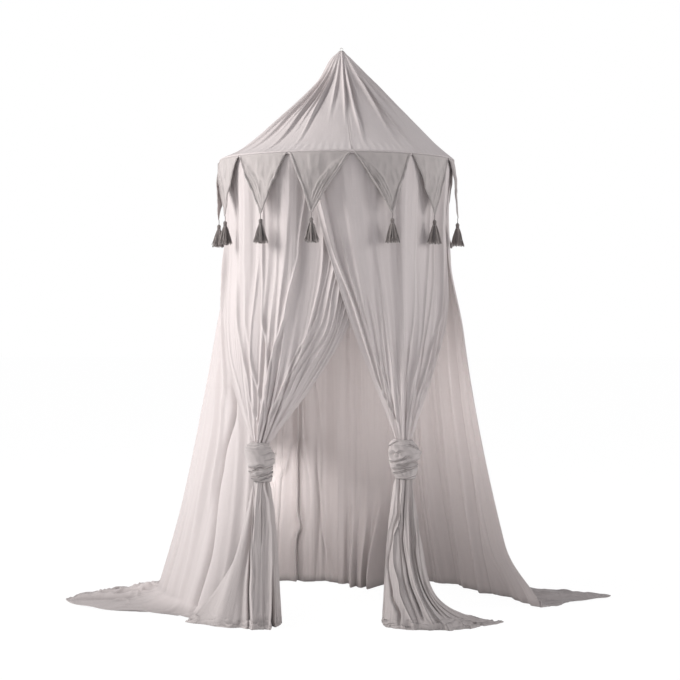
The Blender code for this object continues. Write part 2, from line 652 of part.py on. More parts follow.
cloth_finish = finish("canopy_cloth", (0.62, 0.58, 0.56), 0.9)
roof_finish = finish("roof_cloth", (0.64, 0.60, 0.58), 0.9)
pennant_finish = finish("pennant_cloth", (0.52, 0.49, 0.48), 0.9)
tassel_finish = finish("tassel_yarn", (0.14, 0.12, 0.12), 0.95)
tape_finish = finish("cotton_tape", (0.66, 0.62, 0.58), 0.9)
rod_finish = finish("hoop_plastic", (0.78, 0.77, 0.74), 0.45)
metal_finish = finish("ferrule_steel", (0.6, 0.6, 0.6), 0.3, 1.0)
wood_finish = finish("beech_wood", (0.55, 0.38, 0.22), 0.6)

hook_point = bpy.data.objects.new("hook_point", None)
parts.objects.link(hook_point)

add_hanging_loop(hook_point)
add_washer_and_toggle(hook_point)
add_hoop(hook_point)
add_roof(hook_point)
add_pennants(hook_point)
add_front(hook_point)
add_walls(hook_point)
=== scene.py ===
"""A crib canopy of thin gathered cotton, hung from one hook.

A pointed roof over a hoop, pennants with yarn tassels, crossed front curtains tied in knots, and
walls whose hems lie out over the floor. Metres, +Z up, the doorway faces -Y. A bearing is an angle
about the hoop's axis, in degrees, counted from -Y towards +X.
"""
import math
import random

import bmesh
import bpy
from mathutils import Matrix, Vector, noise


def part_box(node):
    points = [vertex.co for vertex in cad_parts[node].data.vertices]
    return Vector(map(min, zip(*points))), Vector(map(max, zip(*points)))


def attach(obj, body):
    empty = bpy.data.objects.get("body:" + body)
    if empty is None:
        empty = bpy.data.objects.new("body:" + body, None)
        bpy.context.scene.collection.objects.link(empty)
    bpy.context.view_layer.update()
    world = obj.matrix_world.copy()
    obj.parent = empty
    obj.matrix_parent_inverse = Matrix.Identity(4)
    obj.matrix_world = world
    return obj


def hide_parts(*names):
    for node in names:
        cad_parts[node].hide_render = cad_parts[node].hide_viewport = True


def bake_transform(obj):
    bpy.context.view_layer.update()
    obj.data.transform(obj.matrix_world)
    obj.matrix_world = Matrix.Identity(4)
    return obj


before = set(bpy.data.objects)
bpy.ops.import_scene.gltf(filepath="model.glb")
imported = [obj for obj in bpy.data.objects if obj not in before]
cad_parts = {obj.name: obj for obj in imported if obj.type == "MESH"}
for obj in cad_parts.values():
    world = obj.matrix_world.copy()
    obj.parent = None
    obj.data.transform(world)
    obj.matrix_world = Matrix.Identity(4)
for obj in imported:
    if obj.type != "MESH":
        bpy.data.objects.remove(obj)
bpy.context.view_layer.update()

# Heights and the hoop
TIP_Z = -0.012
HOOP_Z = -0.444
FLOOR_Z = -2.181
HOOP_RADIUS = 0.45
HOOP_SHIFT = -0.0176
CASING_RADIUS = 0.0068
CASING_SLOT = 0.03
SEAT_GAP = 0.0003
SOLID_CLOTH = 0.0016
CLOTH = 0.0007
GAUZE = 0.0004                # the casing's cloth, thinner than CLOTH
BED_Z = FLOOR_Z + 0.0009
SEAM_BEARING = 7.0

# Hems
HEM = 0.011
HEM_RISE = 0.0009
HEM_MARKS = (0.0, 0.45, 0.8, 1.0, 1.18)
STITCH_LINE = 0.8             # where the line of stitches runs, as a share of the hem
FOLD_RANGE = 0.36             # the bend that shades a fold fully

# Weave and stitches of the finishes
THREAD_RELIEF = 0.00012
STITCH_WIDTH = 0.0007
STITCH_STEP = 0.0034

# Columns and rows of the sheets
ROOF_GRID = (560, 70)
TAPE_GRID = (4, 60)
PENNANT_ROWS = 40
DRAPE_GRID = (300, 110)
KNOT_GRID = (200, 160)
TAIL_GRID = (250, 120)
WALL_GRID = (290, 168)

# Roof
TIP_RADIUS = 0.0058
ROOF_SAG_LEFT = 0.037
ROOF_SAG_RIGHT = 0.008
ROOF_SAG_SKEW = 1.4
ROOF_SAG_EASE = 0.25
ROOF_HOLLOW = 0.011           # how much more the cloth sags high up on its left side
ROOF_PUCKERS = 96.0
ROOF_TURN_AT = 0.94           # the cloth turns down over the hoop from this share of its length
ROOF_FOLD_HEIGHT = 1.35
ROOF_SLOPE = math.atan2(TIP_Z - HOOP_Z, HOOP_RADIUS)
ROOF_REACH = CASING_RADIUS + 2 * SEAT_GAP + SOLID_CLOTH / 2

# Pennants and tassels
PENNANT_COUNT = 12
PENNANT_DROP = 0.222
PENNANT_TIP = 0.007
PENNANT_FLARE = 0.013
PENNANT_RADIUS = HOOP_RADIUS + CASING_RADIUS + SEAT_GAP + 0.0015 / 2
PENNANT_HEM = 0.0105
PENNANT_COLUMNS = 34
PENNANT_MARKS = (0.0, 0.0018, 0.0046, 0.0076, 0.0098, 0.0116, 0.0140)
PENNANT_STEP = 360.0 / PENNANT_COUNT
NOTCH_GAP = 0.0008
TIP_SWAY = (0.029, -0.010, 0.014, 0.0, -0.012, 0.008,
            -0.006, 0.010, 0.004, 0.036, 0.012, -0.0275)
TASSEL_HANG = 0.0018
TASSEL_DROP = 0.109
TASSEL_HEAD_RADIUS = 0.0076
TASSEL_SKIRT_RADIUS = 0.0285
TASSEL_NECK_Z = -0.0335
STRANDS = 84
STRAND_TURN = 2.39996         # the golden angle, which spreads the strands evenly
STRAND_RADIUS = 0.0014

# Front curtains, knots and tails
LEFT_CURTAIN = (29.5, -75.2)
RIGHT_CURTAIN = (-15.5, 81.7)
KNOT_LEFT = (-0.6178 * HOOP_RADIUS, -0.9333 * HOOP_RADIUS)
KNOT_RIGHT = (0.5444 * HOOP_RADIUS, -0.9333 * HOOP_RADIUS)
KNOT_LEFT_Z = FLOOR_Z + 0.631
KNOT_RIGHT_Z = FLOOR_Z + 0.641
KNOT_BALL = 0.05
KNOT_DROP = 0.1
KNOT_CAP = 0.09               # share of a knot's skin that closes each end
KNOT_WIDTH_LEFT = 0.106
KNOT_WIDTH_RIGHT = 0.117
THROAT = 0.027
THROAT_TURN = 130.0
THROAT_FOLD = 0.0035
CURTAIN_FOLD = 0.0065
CURTAIN_FOLDS = 6
LAYER_STEP = 0.0036
OVERLAP_GAP = 0.022
CROSS_HALF = 0.22
CROSS_EASE = 0.12
CROSS_DROP = 0.09
FOLD_DROP = 0.3
WAIST = 0.024
WAIST_LEAST = 0.45
WAIST_TOP = 0.2
WAIST_END = 0.36
WAIST_FADE = 0.3
TAIL_FOLD = 0.011
TAIL_FOLDS = 4
TAIL_FALL = 0.5
TAIL_STEADY = 0.28
TAIL_LEFT = ((0.073, 0.04), (0.053, -0.035), (-0.002, -0.065), (-0.087, -0.045),
             (-0.182, 0.01), (-0.284, 0.068))
TAIL_RIGHT = ((-0.078, 0.055), (-0.06, -0.03), (0.017, -0.085), (0.115, -0.09),
              (0.205, -0.07), (0.285, -0.01), (0.376, 0.066))

# Walls
WALL_LEFT = (-75.5, -180.5)
WALL_RIGHT = (82.0, 179.5)
WALL_PANEL = 52.5
WALL_FOLD = 0.018
WALL_FOLD_STEP = 15.0
TRAIN_FOLD = 0.024
FOOT_CURVE_LEFT = 0.05
FOOT_CURVE_RIGHT = 0.008
FOOT_CURVE_BACK = 0.004
TOE_BEGINS = 0.74             # share of the way down from which the foot is drawn in
FLARE_BEGINS = 0.85           # and from which it is drawn out
WALL_BEND = 0.68              # share of a wall's length that hangs; the rest lies on the floor
LEFT_SLACK = (1.9, 6.0, 4.0)
RIGHT_SLACK = (2.6, 1.85, 0.6)
EDGE_SWING = 33.5
EDGE_SWING_SPAN = (0.24, 0.64)
EDGE_RETURN = 3.0
EDGE_RETURN_SPAN = (0.66, 1.0)
FOOT_LEFT = ((-45.0, 0.045), (-59.0, 0.115), (-75.0, 0.17), (-90.0, 0.23), (-101.0, 0.275),
             (-114.0, 0.285), (-127.0, 0.25), (-140.0, 0.19), (-159.0, 0.095), (-180.5, 0.05))
FOOT_RIGHT = ((82.0, 0.256), (90.0, 0.25), (97.0, 0.21), (106.0, 0.185), (120.0, 0.175),
              (141.0, 0.18), (160.0, 0.11), (179.5, 0.05))
TOE_LEFT = ((150.0, 0.0), (158.0, 0.0), (166.0, 0.005), (173.0, 0.02), (180.5, 0.035))
TOE_RIGHT = ((82.0, -0.050), (98.0, -0.040), (112.0, 0.0), (139.0, 0.0), (147.0, 0.02),
             (155.0, 0.16), (163.0, 0.21), (169.0, 0.16), (179.5, 0.05))
HEM_LEFT = ((-45.0, 0.06), (-59.0, 0.15), (-71.0, 0.22), (-77.0, 0.31), (-82.0, 0.45),
            (-88.0, 0.56), (-95.0, 0.635), (-106.0, 0.55), (-121.0, 0.435), (-137.0, 0.36),
            (-158.0, 0.27), (-180.5, 0.21))
HEM_RIGHT = ((82.0, 0.35), (88.0, 0.415), (93.0, 0.51), (98.0, 0.665), (105.0, 0.55),
             (113.0, 0.43), (124.0, 0.34), (141.0, 0.31), (160.0, 0.24), (179.5, 0.21))


def blend(low, high, share):
    return low + (high - low) * share


def smooth(share):
    share = min(max(share, 0.0), 1.0)
    return share * share * (3.0 - 2.0 * share)


def around(radius, bearing, z):
    """A point at a distance from the hoop's axis, on a bearing."""
    angle = math.radians(bearing)
    return Vector((HOOP_SHIFT + radius * math.sin(angle), -radius * math.cos(angle), z))


def along(outline, share):
    """A smooth curve through an outline's points, which share 0 to 1 runs along."""
    spans = len(outline) - 1
    place = min(max(share, 0.0), 1.0) * spans
    first = min(int(place), spans - 1)
    step = place - first
    points = [Vector(outline[min(max(first + k, 0), spans)]) for k in (-1, 0, 1, 2)]
    slope_in = (points[2] - points[0]) / 2
    slope_out = (points[3] - points[1]) / 2
    square, cube = step * step, step ** 3
    return (points[1] * (2 * cube - 3 * square + 1) + slope_in * (cube - 2 * square + step)
            + points[2] * (3 * square - 2 * cube) + slope_out * (cube - square))


def reach_at(table, bearing):
    """The distance that a table of (bearing, distance) gives, on a smooth curve through it."""
    last = len(table) - 1
    first = min(sum(abs(bearing) > abs(pair[0]) for pair in table[1:]), last - 1)
    pairs = [table[min(max(first + k, 0), last)] for k in (-1, 0, 1, 2)]
    slopes = [(high[1] - low[1]) / (high[0] - low[0]) for low, high in (pairs[0::2], pairs[1::2])]
    span = pairs[2][0] - pairs[1][0]
    step = (bearing - pairs[1][0]) / span
    square, cube = step * step, step ** 3
    return (pairs[1][1] * (2 * cube - 3 * square + 1) + pairs[2][1] * (3 * square - 2 * cube)
            + span * (slopes[0] * (cube - 2 * square + step) + slopes[1] * (cube - square)))


def drift(x, y, seed):
    """A slow, smooth wander between about -1 and 1."""
    return noise.noise(Vector((x, y, seed * 7.3))) * 1.6


def crest(turns):
    """A fold's height over one turn, 1 on its narrow crest and -1 in its wide valley."""
    wave = math.cos(math.tau * turns)
    return wave * (0.75 + 0.25 * wave) - 0.12 * (1 - wave)


def ridge(offset, width):
    """A single fold across an offset from its middle."""
    share = offset / width
    return 1.0 / (1.0 + share * share) ** 2


def lip(offset, width):
    """The edge of a layer that lies over another: 1 just inside it and -1 just outside."""
    share = offset / width
    return share * math.exp(0.5 * (1.0 - share * share)) if abs(share) < 4.0 else 0.0


def patchy(least, x, y, seed):
    """Strength of a row of small folds, which comes and goes over a cloth."""
    return max(least + 0.9 * drift(x, y, seed), 0.0)


def crinkle_line(x, y, seed, narrow=3.0):
    """1 along wandering lines, where a slow drift passes 0, and 0 away from them."""
    return max(1.0 - narrow * abs(drift(x, y, seed)), 0.0)


def fades(place, low, high, ease):
    """1 between low and high, and 0 further than ease outside them."""
    return smooth((place - low) / ease + 1.0) * smooth((high - place) / ease + 1.0)


def level(points, place):
    """Height of a line through (place, height) points, held level beyond its ends."""
    if place <= points[0][0]:
        return points[0][1]
    for low, high in zip(points, points[1:]):
        if place <= high[0]:
            return blend(low[1], high[1], smooth((place - low[0]) / (high[0] - low[0])))
    return points[-1][1]


# Finishes

def add_node(tree, kind, inputs=(), **settings):
    node = tree.nodes.new(kind)
    for name, value in settings.items():
        setattr(node, name, value)
    for socket, value in dict(inputs).items():
        if isinstance(value, bpy.types.NodeSocket):
            tree.links.new(value, node.inputs[socket])
        else:
            node.inputs[socket].default_value = value
    return node


def math_node(tree, operation, first, second=0.0, third=None):
    inputs = {0: first, 1: second}
    if third is not None:
        inputs[2] = third
    return add_node(tree, "ShaderNodeMath", inputs, operation=operation).outputs[0]


def stretched_noise(tree, vector, scales, detail=2.0):
    """Noise whose grain is drawn out: scales are its counts per metre along each direction."""
    mapped = add_node(tree, "ShaderNodeMapping", {"Vector": vector, "Scale": scales})
    return add_node(tree, "ShaderNodeTexNoise", {"Vector": mapped.outputs[0], "Scale": 1.0,
                                                 "Detail": detail}).outputs["Fac"]


def new_finish(name, colour, roughness, others=()):
    """A material, its node tree and its shader; others are further sockets of the shader."""
    material = bpy.data.materials.new(name)
    material.use_nodes = True
    tree = material.node_tree
    shader = tree.nodes["Principled BSDF"]
    shader.inputs["Roughness"].default_value = roughness
    shader.inputs["Base Color"].default_value = (*colour, 1.0)
    for socket, value in dict(others).items():
        shader.inputs[socket].default_value = value
    return material, tree, shader


def mixed_colours(tree, share, first, second, **settings):
    return add_node(tree, "ShaderNodeMix", {0: share, 6: first, 7: second}, data_type="RGBA",
                    **settings).outputs[2]


def raise_surface(tree, shader, height):
    """Relief on a finish, from a height in metres."""
    bump = add_node(tree, "ShaderNodeBump", {"Height": height, "Distance": 1.0, "Strength": 1.0})
    tree.links.new(bump.outputs[0], shader.inputs["Normal"])


def cotton(name, colour, thread=0.0011, crinkle=0.0014, worn=0.05, painted_floor_shade=1.0, painted_fold_shade=0.0):
    """Plain woven cotton: threads, slubs, fine creases along the hang, and a stitched hem.
    dusty is its tone where it lies on the floor, painted darker there as painted shade, and
    more faintly up to 0.8 m above it; shaded is how much darker painted shade makes its folds
    inside, while a painted highlight makes their crests a little lighter."""
    material, tree, shader = new_finish(name, colour, 0.88, {
        "Sheen Weight": 0.22, "Sheen Roughness": 0.45, "Specular IOR Level": 0.25})

    def maths(operation, *values):
        return math_node(tree, operation, *values)

    weave = add_node(tree, "ShaderNodeUVMap", uv_map="weave").outputs[0]
    hem = add_node(tree, "ShaderNodeUVMap", uv_map="hem").outputs[0]
    across = add_node(tree, "ShaderNodeSeparateXYZ", {0: weave}).outputs
    turn = math.tau / thread
    threads = maths("MULTIPLY", maths("SINE", maths("MULTIPLY", across[0], turn)),
                    maths("SINE", maths("MULTIPLY", across[1], turn)))
    slubs = maths("ADD", stretched_noise(tree, weave, (900.0, 14.0, 1.0)),
                  stretched_noise(tree, weave, (14.0, 900.0, 1.0)))
    hang = stretched_noise(tree, weave, (95.0, 7.0, 1.0), 4.0)
    where = add_node(tree, "ShaderNodeTexCoord").outputs["Object"]
    cloud = add_node(tree, "ShaderNodeTexNoise", {"Vector": where, "Scale": 3.2,
                                                  "Detail": 3.0}).outputs["Fac"]
    edge = add_node(tree, "ShaderNodeSeparateXYZ", {0: hem}).outputs
    from_line = maths("ABSOLUTE", maths("SUBTRACT", edge[0], HEM * STITCH_LINE))
    on_line = maths("LESS_THAN", from_line, STITCH_WIDTH)
    dash = maths("SINE", maths("MULTIPLY", edge[1], math.tau / STITCH_STEP))
    stitch = maths("MULTIPLY", on_line, maths("GREATER_THAN", dash, -0.3))
    tone = maths("MULTIPLY_ADD", slubs, 0.09, 0.91)
    # The hang term is painted shade: the crinkles' raised streaks are painted lighter and their
    # sunk ones darker.
    for pattern, depth, middle in ((cloud, worn, 1 - worn / 2), (stitch, -0.2, 1.0),
                                   (hang, 0.05, 0.975)):
        tone = maths("MULTIPLY", tone, maths("MULTIPLY_ADD", pattern, depth, middle))
    # Painted shade and painted highlight: from the fold attribute, each fold's hollow is painted
    # darker and its crest a little lighter.
    if painted_fold_shade:
        fold = add_node(tree, "ShaderNodeAttribute", attribute_name="fold").outputs["Fac"]
        for end, reached in ((1.0, 1.0 - painted_fold_shade), (0.0, 1.0 + 0.3 * painted_fold_shade)):
            painted_fold_tone = add_node(tree, "ShaderNodeMapRange", {
                "Value": fold, "From Min": 0.5, "From Max": end, "To Min": 1.0,
                "To Max": reached}).outputs[0]
            tone = maths("MULTIPLY", tone, painted_fold_tone)
    # Painted shade: the cloth is painted darker towards the floor, most where it lies on it.
    if painted_floor_shade < 1.0:
        height = add_node(tree, "ShaderNodeSeparateXYZ", {0: where}).outputs[2]
        for reach, least in ((0.045, painted_floor_shade), (0.8, 0.86)):
            floor_tone = add_node(tree, "ShaderNodeMapRange", {
                "Value": height, "From Min": FLOOR_Z + 0.003, "From Max": FLOOR_Z + reach,
                "To Min": least, "To Max": 1.0}, interpolation_type="SMOOTHSTEP").outputs[0]
            tone = maths("MULTIPLY", tone, floor_tone)
    grey = add_node(tree, "ShaderNodeCombineColor", {0: tone, 1: tone, 2: tone}).outputs[0]
    tinted = mixed_colours(tree, 1.0, (*colour, 1.0), grey, blend_type="MULTIPLY")
    tree.links.new(tinted, shader.inputs["Base Color"])
    tree.links.new(maths("MULTIPLY_ADD", slubs, 0.12, 0.78), shader.inputs["Roughness"])
    relief = maths("MULTIPLY_ADD", threads, THREAD_RELIEF, 0.0)
    for pattern, depth in ((slubs, 0.00025), (hang, crinkle), (stitch, -0.0003)):
        relief = maths("ADD", relief, maths("MULTIPLY", pattern, depth))
    raise_surface(tree, shader, relief)
    return material


def yarn(name, dark, pale):
    """Cotton yarn, twisted; strands painted dark to pale as painted shade and painted highlights.
    """
    material, tree, shader = new_finish(name, dark, 0.95, {"Sheen Weight": 0.35,
                                                           "Sheen Roughness": 0.5})
    where = add_node(tree, "ShaderNodeTexCoord").outputs["Object"]
    strand = add_node(tree, "ShaderNodeUVMap", uv_map="strand").outputs[0]
    strand = add_node(tree, "ShaderNodeSeparateXYZ", {0: strand}).outputs[0]
    streak = stretched_noise(tree, where, (300.0, 300.0, 40.0), 3.0)
    strand = math_node(tree, "POWER", strand, 1.5)
    streak = math_node(tree, "MULTIPLY_ADD", strand, 0.85,
                       math_node(tree, "MULTIPLY", streak, 0.25))
    twist = add_node(tree, "ShaderNodeTexWave", {"Vector": where, "Scale": 190.0,
                                                 "Distortion": 2.0},
                     bands_direction="DIAGONAL").outputs["Fac"]
    tree.links.new(mixed_colours(tree, streak, (*dark, 1.0), (*pale, 1.0)),
                   shader.inputs["Base Color"])
    raise_surface(tree, shader, math_node(tree, "MULTIPLY", twist, 0.0003))
    return material


def streaked(name, colour, other, scales, roughness, metallic=0.0, depth=0.0002):
    """Wood grain, a drawn rod or brushed metal: streaks along one direction of the piece."""
    material, tree, shader = new_finish(name, colour, roughness, {"Metallic": metallic})
    where = add_node(tree, "ShaderNodeTexCoord").outputs["Object"]
    grain = stretched_noise(tree, where, scales, 4.0)
    tree.links.new(mixed_colours(tree, grain, (*colour, 1.0), (*other, 1.0)),
                   shader.inputs["Base Color"])
    tree.links.new(math_node(tree, "MULTIPLY_ADD", grain, 0.2, roughness - 0.1),
                   shader.inputs["Roughness"])
    raise_surface(tree, shader, math_node(tree, "MULTIPLY", grain, depth))
    return material


# All these cottons but the tape are one cloth. The knot, tail and pennant copies are painted
# darker, as painted shade where the cloth lies doubled or gathered, lets less light through, or is
# in shadow.
canopy_cotton = cotton("canopy_cotton", (0.62, 0.564, 0.554), painted_fold_shade=0.24)
wall_cotton = cotton("wall_cotton", (0.60, 0.546, 0.536), painted_floor_shade=0.76, painted_fold_shade=0.25)
shade_painted_knot_cotton = cotton("shade_painted_knot_cotton", (0.49, 0.446, 0.436), crinkle=0.0022, painted_fold_shade=0.75)
shade_painted_tail_cotton = cotton("shade_painted_tail_cotton", (0.54, 0.492, 0.481), crinkle=0.0022, painted_floor_shade=0.9, painted_fold_shade=0.5)
roof_cotton = cotton("roof_cotton", (0.60, 0.546, 0.536), crinkle=0.0006, painted_fold_shade=0.16)
shade_painted_pennant_cotton = cotton("shade_painted_pennant_cotton", (0.47, 0.43, 0.417), crinkle=0.0018, painted_fold_shade=0.45)
tape_cotton = cotton("tape_cotton", (0.66, 0.62, 0.58), thread=0.0014, crinkle=0.0002)
tassel_yarn = yarn("tassel_yarn", (0.035, 0.029, 0.028), (0.56, 0.495, 0.47))
beech = streaked("beech", (0.56, 0.38, 0.22), (0.42, 0.26, 0.14), (60.0, 60.0, 12.0), 0.55)
rod_plastic = streaked("rod_plastic", (0.78, 0.77, 0.74), (0.70, 0.69, 0.66), (30.0, 30.0, 300.0),
                       0.45, depth=0.00005)
ferrule_steel = streaked("ferrule_steel", (0.62, 0.62, 0.62), (0.48, 0.48, 0.48),
                         (200.0, 200.0, 900.0), 0.35, metallic=1.0, depth=0.00004)


# Cloth

def marks(count, length, low, high):
    """Shares of a length for count + 1 rows of a grid, closed up where a hem is turned."""
    start = [share * HEM / length for share in HEM_MARKS] if low else [0.0]
    end = [1.0 - share * HEM / length for share in reversed(HEM_MARKS)] if high else [1.0]
    middle = count + 2 - len(start) - len(end)
    steps = [blend(start[-1], end[0], k / middle) for k in range(1, middle)]
    return start + steps + end


def hem_relief(distance):
    """How far a turned hem stands off the cloth, with its line of stitches drawn in."""
    if distance >= HEM * 1.1:
        return 0.0
    return HEM_RISE * (0.45 if abs(distance - HEM * STITCH_LINE) < HEM * 0.05 else 1.0)


def cloth(name, grid, place, cut, finish, hems="", ring=False, thick=CLOTH):
    """A sheet of cloth, cut to (width, length), whose corners place(u, v) puts in space.
    hems are the first letters of its hemmed edges: left, right and foot."""
    columns, rows = grid
    across = marks(columns, cut[0], "l" in hems, "r" in hems)
    down = marks(rows, cut[1], False, "f" in hems)
    shape = bmesh.new()
    bmesh.ops.create_grid(shape, x_segments=columns, y_segments=rows, size=0.5)
    places = {}
    for vert in shape.verts:
        u = across[round((vert.co.x + 0.5) * columns)]
        v = down[round((vert.co.y + 0.5) * rows)]
        x, y = u * cut[0], v * cut[1]
        sides = [(1.0, 0.0)]
        sides += [(x, y)] if "l" in hems else []
        sides += [(cut[0] - x, y)] if "r" in hems else []
        sides += [(cut[1] - y, x)] if "f" in hems else []
        places[vert] = (u, v, (x, y), min(sides))
    lay_weave(shape, lambda vert: places[vert][2:])
    for vert, (u, v, _, _) in places.items():
        vert.co = place(u, v)
    shape.normal_update()
    lifted = [(vert, hem_relief(near[0])) for vert, (_, _, _, near) in places.items()]
    for vert, lift in lifted:
        if lift:
            vert.co += vert.normal * lift
    if ring:
        bmesh.ops.remove_doubles(shape, verts=shape.verts[:], dist=0.00002)
    mark_folds(shape)
    return piece_of(name, shape, finish, thick)


def lay_weave(shape, places_of):
    """Store each corner's (across, along) in the weave and (in from, along) its nearest hem."""
    weave = shape.loops.layers.uv.new("weave")
    hem = shape.loops.layers.uv.new("hem")
    for face in shape.faces:
        for loop in face.loops:
            loop[weave].uv, loop[hem].uv = places_of(loop.vert)


def mark_folds(shape):
    """Store how hollow the cloth is at each corner: 0.5 where flat, 1 deep inside a fold."""
    shape.normal_update()
    shape.verts.index_update()
    near = [[edge.other_vert(vert).index for edge in vert.link_edges] for vert in shape.verts]
    hollow = []
    for vert, others in zip(shape.verts, near):
        steps = [edge.other_vert(vert).co - vert.co for edge in vert.link_edges]
        span = sum(step.length for step in steps) + 1e-9
        hollow.append(sum(steps, Vector()).dot(vert.normal) / span)
    for _ in range(2):
        hollow = [0.5 * own + 0.5 * sum(hollow[k] for k in others) / len(others)
                  for own, others in zip(hollow, near)]
    layer = shape.verts.layers.float.new("fold")
    for vert, own in zip(shape.verts, hollow):
        vert[layer] = min(max(0.5 + own / FOLD_RANGE, 0.0), 1.0)


def draw_out(shape, edges, step):
    """Draw edges out by a step; the new edges and their corners."""
    made = bmesh.ops.extrude_edge_only(shape, edges=edges)["geom"]
    verts = [part for part in made if isinstance(part, bmesh.types.BMVert)]
    pulled = [part for part in made if isinstance(part, bmesh.types.BMEdge)
              and all(vert in verts for vert in part.verts)]
    bmesh.ops.translate(shape, verts=verts, vec=step)
    return pulled, verts


def piece_of(name, shape, finish, thick=0.0):
    mesh = bpy.data.meshes.new(name)
    shape.to_mesh(mesh)
    shape.free()
    mesh.shade_smooth()
    mesh.materials.append(finish)
    piece = bpy.data.objects.new(name, mesh)
    bpy.context.scene.collection.objects.link(piece)
    if thick:
        wall = piece.modifiers.new("thickness", "SOLIDIFY")
        wall.thickness = thick
        wall.offset = 0.0
    return piece


# Roof: each fold is a bearing, a width in degrees, a height and the share of the slope it dies at

FRONT_FOLDS = ((-77.0, 1.5, 0.004, 1.3), (-63.0, 1.5, 0.007, 1.3), (-51.0, 1.5, 0.009, 1.25),
               (-44.0, 1.2, 0.004, 1.0), (-37.0, 1.6, 0.010, 1.2), (-29.0, 1.3, 0.005, 0.9),
               (-21.5, 1.7, 0.010, 1.05), (-8.0, 2.2, 0.006, 0.75), (5.6, 1.5, 0.008, 0.85),
               (13.3, 1.7, 0.011, 1.05), (21.0, 2.0, 0.004, 0.6), (34.0, 1.9, 0.012, 1.0),
               (40.5, 1.9, 0.009, 1.1), (55.0, 2.4, 0.007, 0.8))
folding = random.Random(4)
ROOF_FOLDS = list(FRONT_FOLDS)
back = 68.0
while back < 287.0:
    ROOF_FOLDS.append((back, folding.uniform(1.6, 2.4), folding.uniform(0.005, 0.009),
                       folding.uniform(0.65, 1.05)))
    back += folding.uniform(6.0, 12.0)


def roof_folds(bearing, share):
    height = 0.0
    for middle, width, rise, end in ROOF_FOLDS:
        offset = (bearing - middle + 180.0) % 360.0 - 180.0
        wide = width * min(0.45 / (share + 0.01), 3.2) ** 0.8
        if abs(offset) > 7 * wide:
            continue
        offset += 1.2 * drift(share * 2.0, middle, 1)
        strength = smooth(share / 0.08) * min(share / 0.35, 1.0)
        strength *= 1.0 - smooth((share - 0.35 * end) / (0.65 * end))
        crossing = ridge(offset, wide) - 0.5 * ridge(offset - 1.7 * wide, wide)
        height += ROOF_FOLD_HEIGHT * rise * strength * crossing
    near_hoop = smooth((share - 0.86) / 0.14)
    pucker = math.radians(bearing * ROOF_PUCKERS + 60 * drift(bearing / 9, 0, 2))
    height += 0.0012 * near_hoop * math.cos(pucker)
    seam = min((bearing - SEAM_BEARING) % 90.0, 90.0 - (bearing - SEAM_BEARING) % 90.0)
    seam *= math.radians(blend(TIP_RADIUS, HOOP_RADIUS, share))
    height += 0.0014 * ridge(seam, 0.004) - 0.0012 * ridge(seam - 0.007, 0.002)
    return height + 0.0016 * drift(bearing / 12, share * 5, 3)


def roof_point(bearing, share, lift=0.0):
    """A point of the roof cloth, from the tip (0) to the hoop (1), lifted off it by lift."""
    edge_radius = HOOP_RADIUS + ROOF_REACH * math.sin(ROOF_SLOPE)
    edge_z = HOOP_Z + ROOF_REACH * math.cos(ROOF_SLOPE)
    radius = blend(TIP_RADIUS, edge_radius, share)
    height = blend(TIP_Z, edge_z, share)
    leftness = (1.0 - math.sin(math.radians(bearing))) / 2
    hang = 1.0 - abs(2.0 * share ** ROOF_SAG_SKEW - 1.0) ** 3
    sag = blend(ROOF_SAG_RIGHT, ROOF_SAG_LEFT, leftness) * hang * smooth(share / ROOF_SAG_EASE)
    below = 1.0 - smooth((share - 0.25) / 0.4)
    sag += ROOF_HOLLOW * leftness * smooth((share - 0.04) / 0.14) * below
    off = lift + roof_folds(bearing, share) * smooth((1.0 - share) / 0.03 + 0.3) - sag
    radius += off * math.sin(ROOF_SLOPE)
    height += off * math.cos(ROOF_SLOPE)
    angle = math.radians(bearing)
    return Vector((HOOP_SHIFT * share + radius * math.sin(angle), -radius * math.cos(angle),
                   height))


def roof_place(u, v):
    bearing = SEAM_BEARING + 360.0 * u
    if v <= ROOF_TURN_AT:
        return roof_point(bearing, (v / ROOF_TURN_AT) ** 1.15)
    turned = (v - ROOF_TURN_AT) / (1.0 - ROOF_TURN_AT)
    start = math.pi / 2 - ROOF_SLOPE
    turn = blend(start, 0.05, turned)
    gather = 0.0006 * math.sin(math.pi * turned) * math.cos(math.radians(bearing * ROOF_PUCKERS))
    reach = ROOF_REACH + gather
    return around(HOOP_RADIUS + reach * math.cos(turn), bearing, HOOP_Z + reach * math.sin(turn))


def tape_place(seam):
    """A seam tape inside the roof, from just under the tip to the hoop."""
    def place(u, v):
        share = blend(0.1, 0.985, v)
        spread = math.degrees(0.012 * (u - 0.5) / blend(TIP_RADIUS, HOOP_RADIUS, share))
        return roof_point(seam + spread, share, -0.0021)
    return place


roof = cloth("roof", ROOF_GRID, roof_place, (2.85, 0.64), roof_cotton, ring=True)
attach(roof, "canopy")
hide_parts("roof_gore_right", "roof_gore_back", "roof_gore_left", "roof_gore_front")
for number, side in enumerate(("right", "back", "left", "front")):
    tape = cloth(f"inner_tape_{side}", TAPE_GRID, tape_place(SEAM_BEARING + 90.0 * number),
                 (0.012, 0.58), tape_cotton)
    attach(tape, "canopy")
    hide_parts(f"seam_tape_{side}")


# Hoop casing and hanging loop

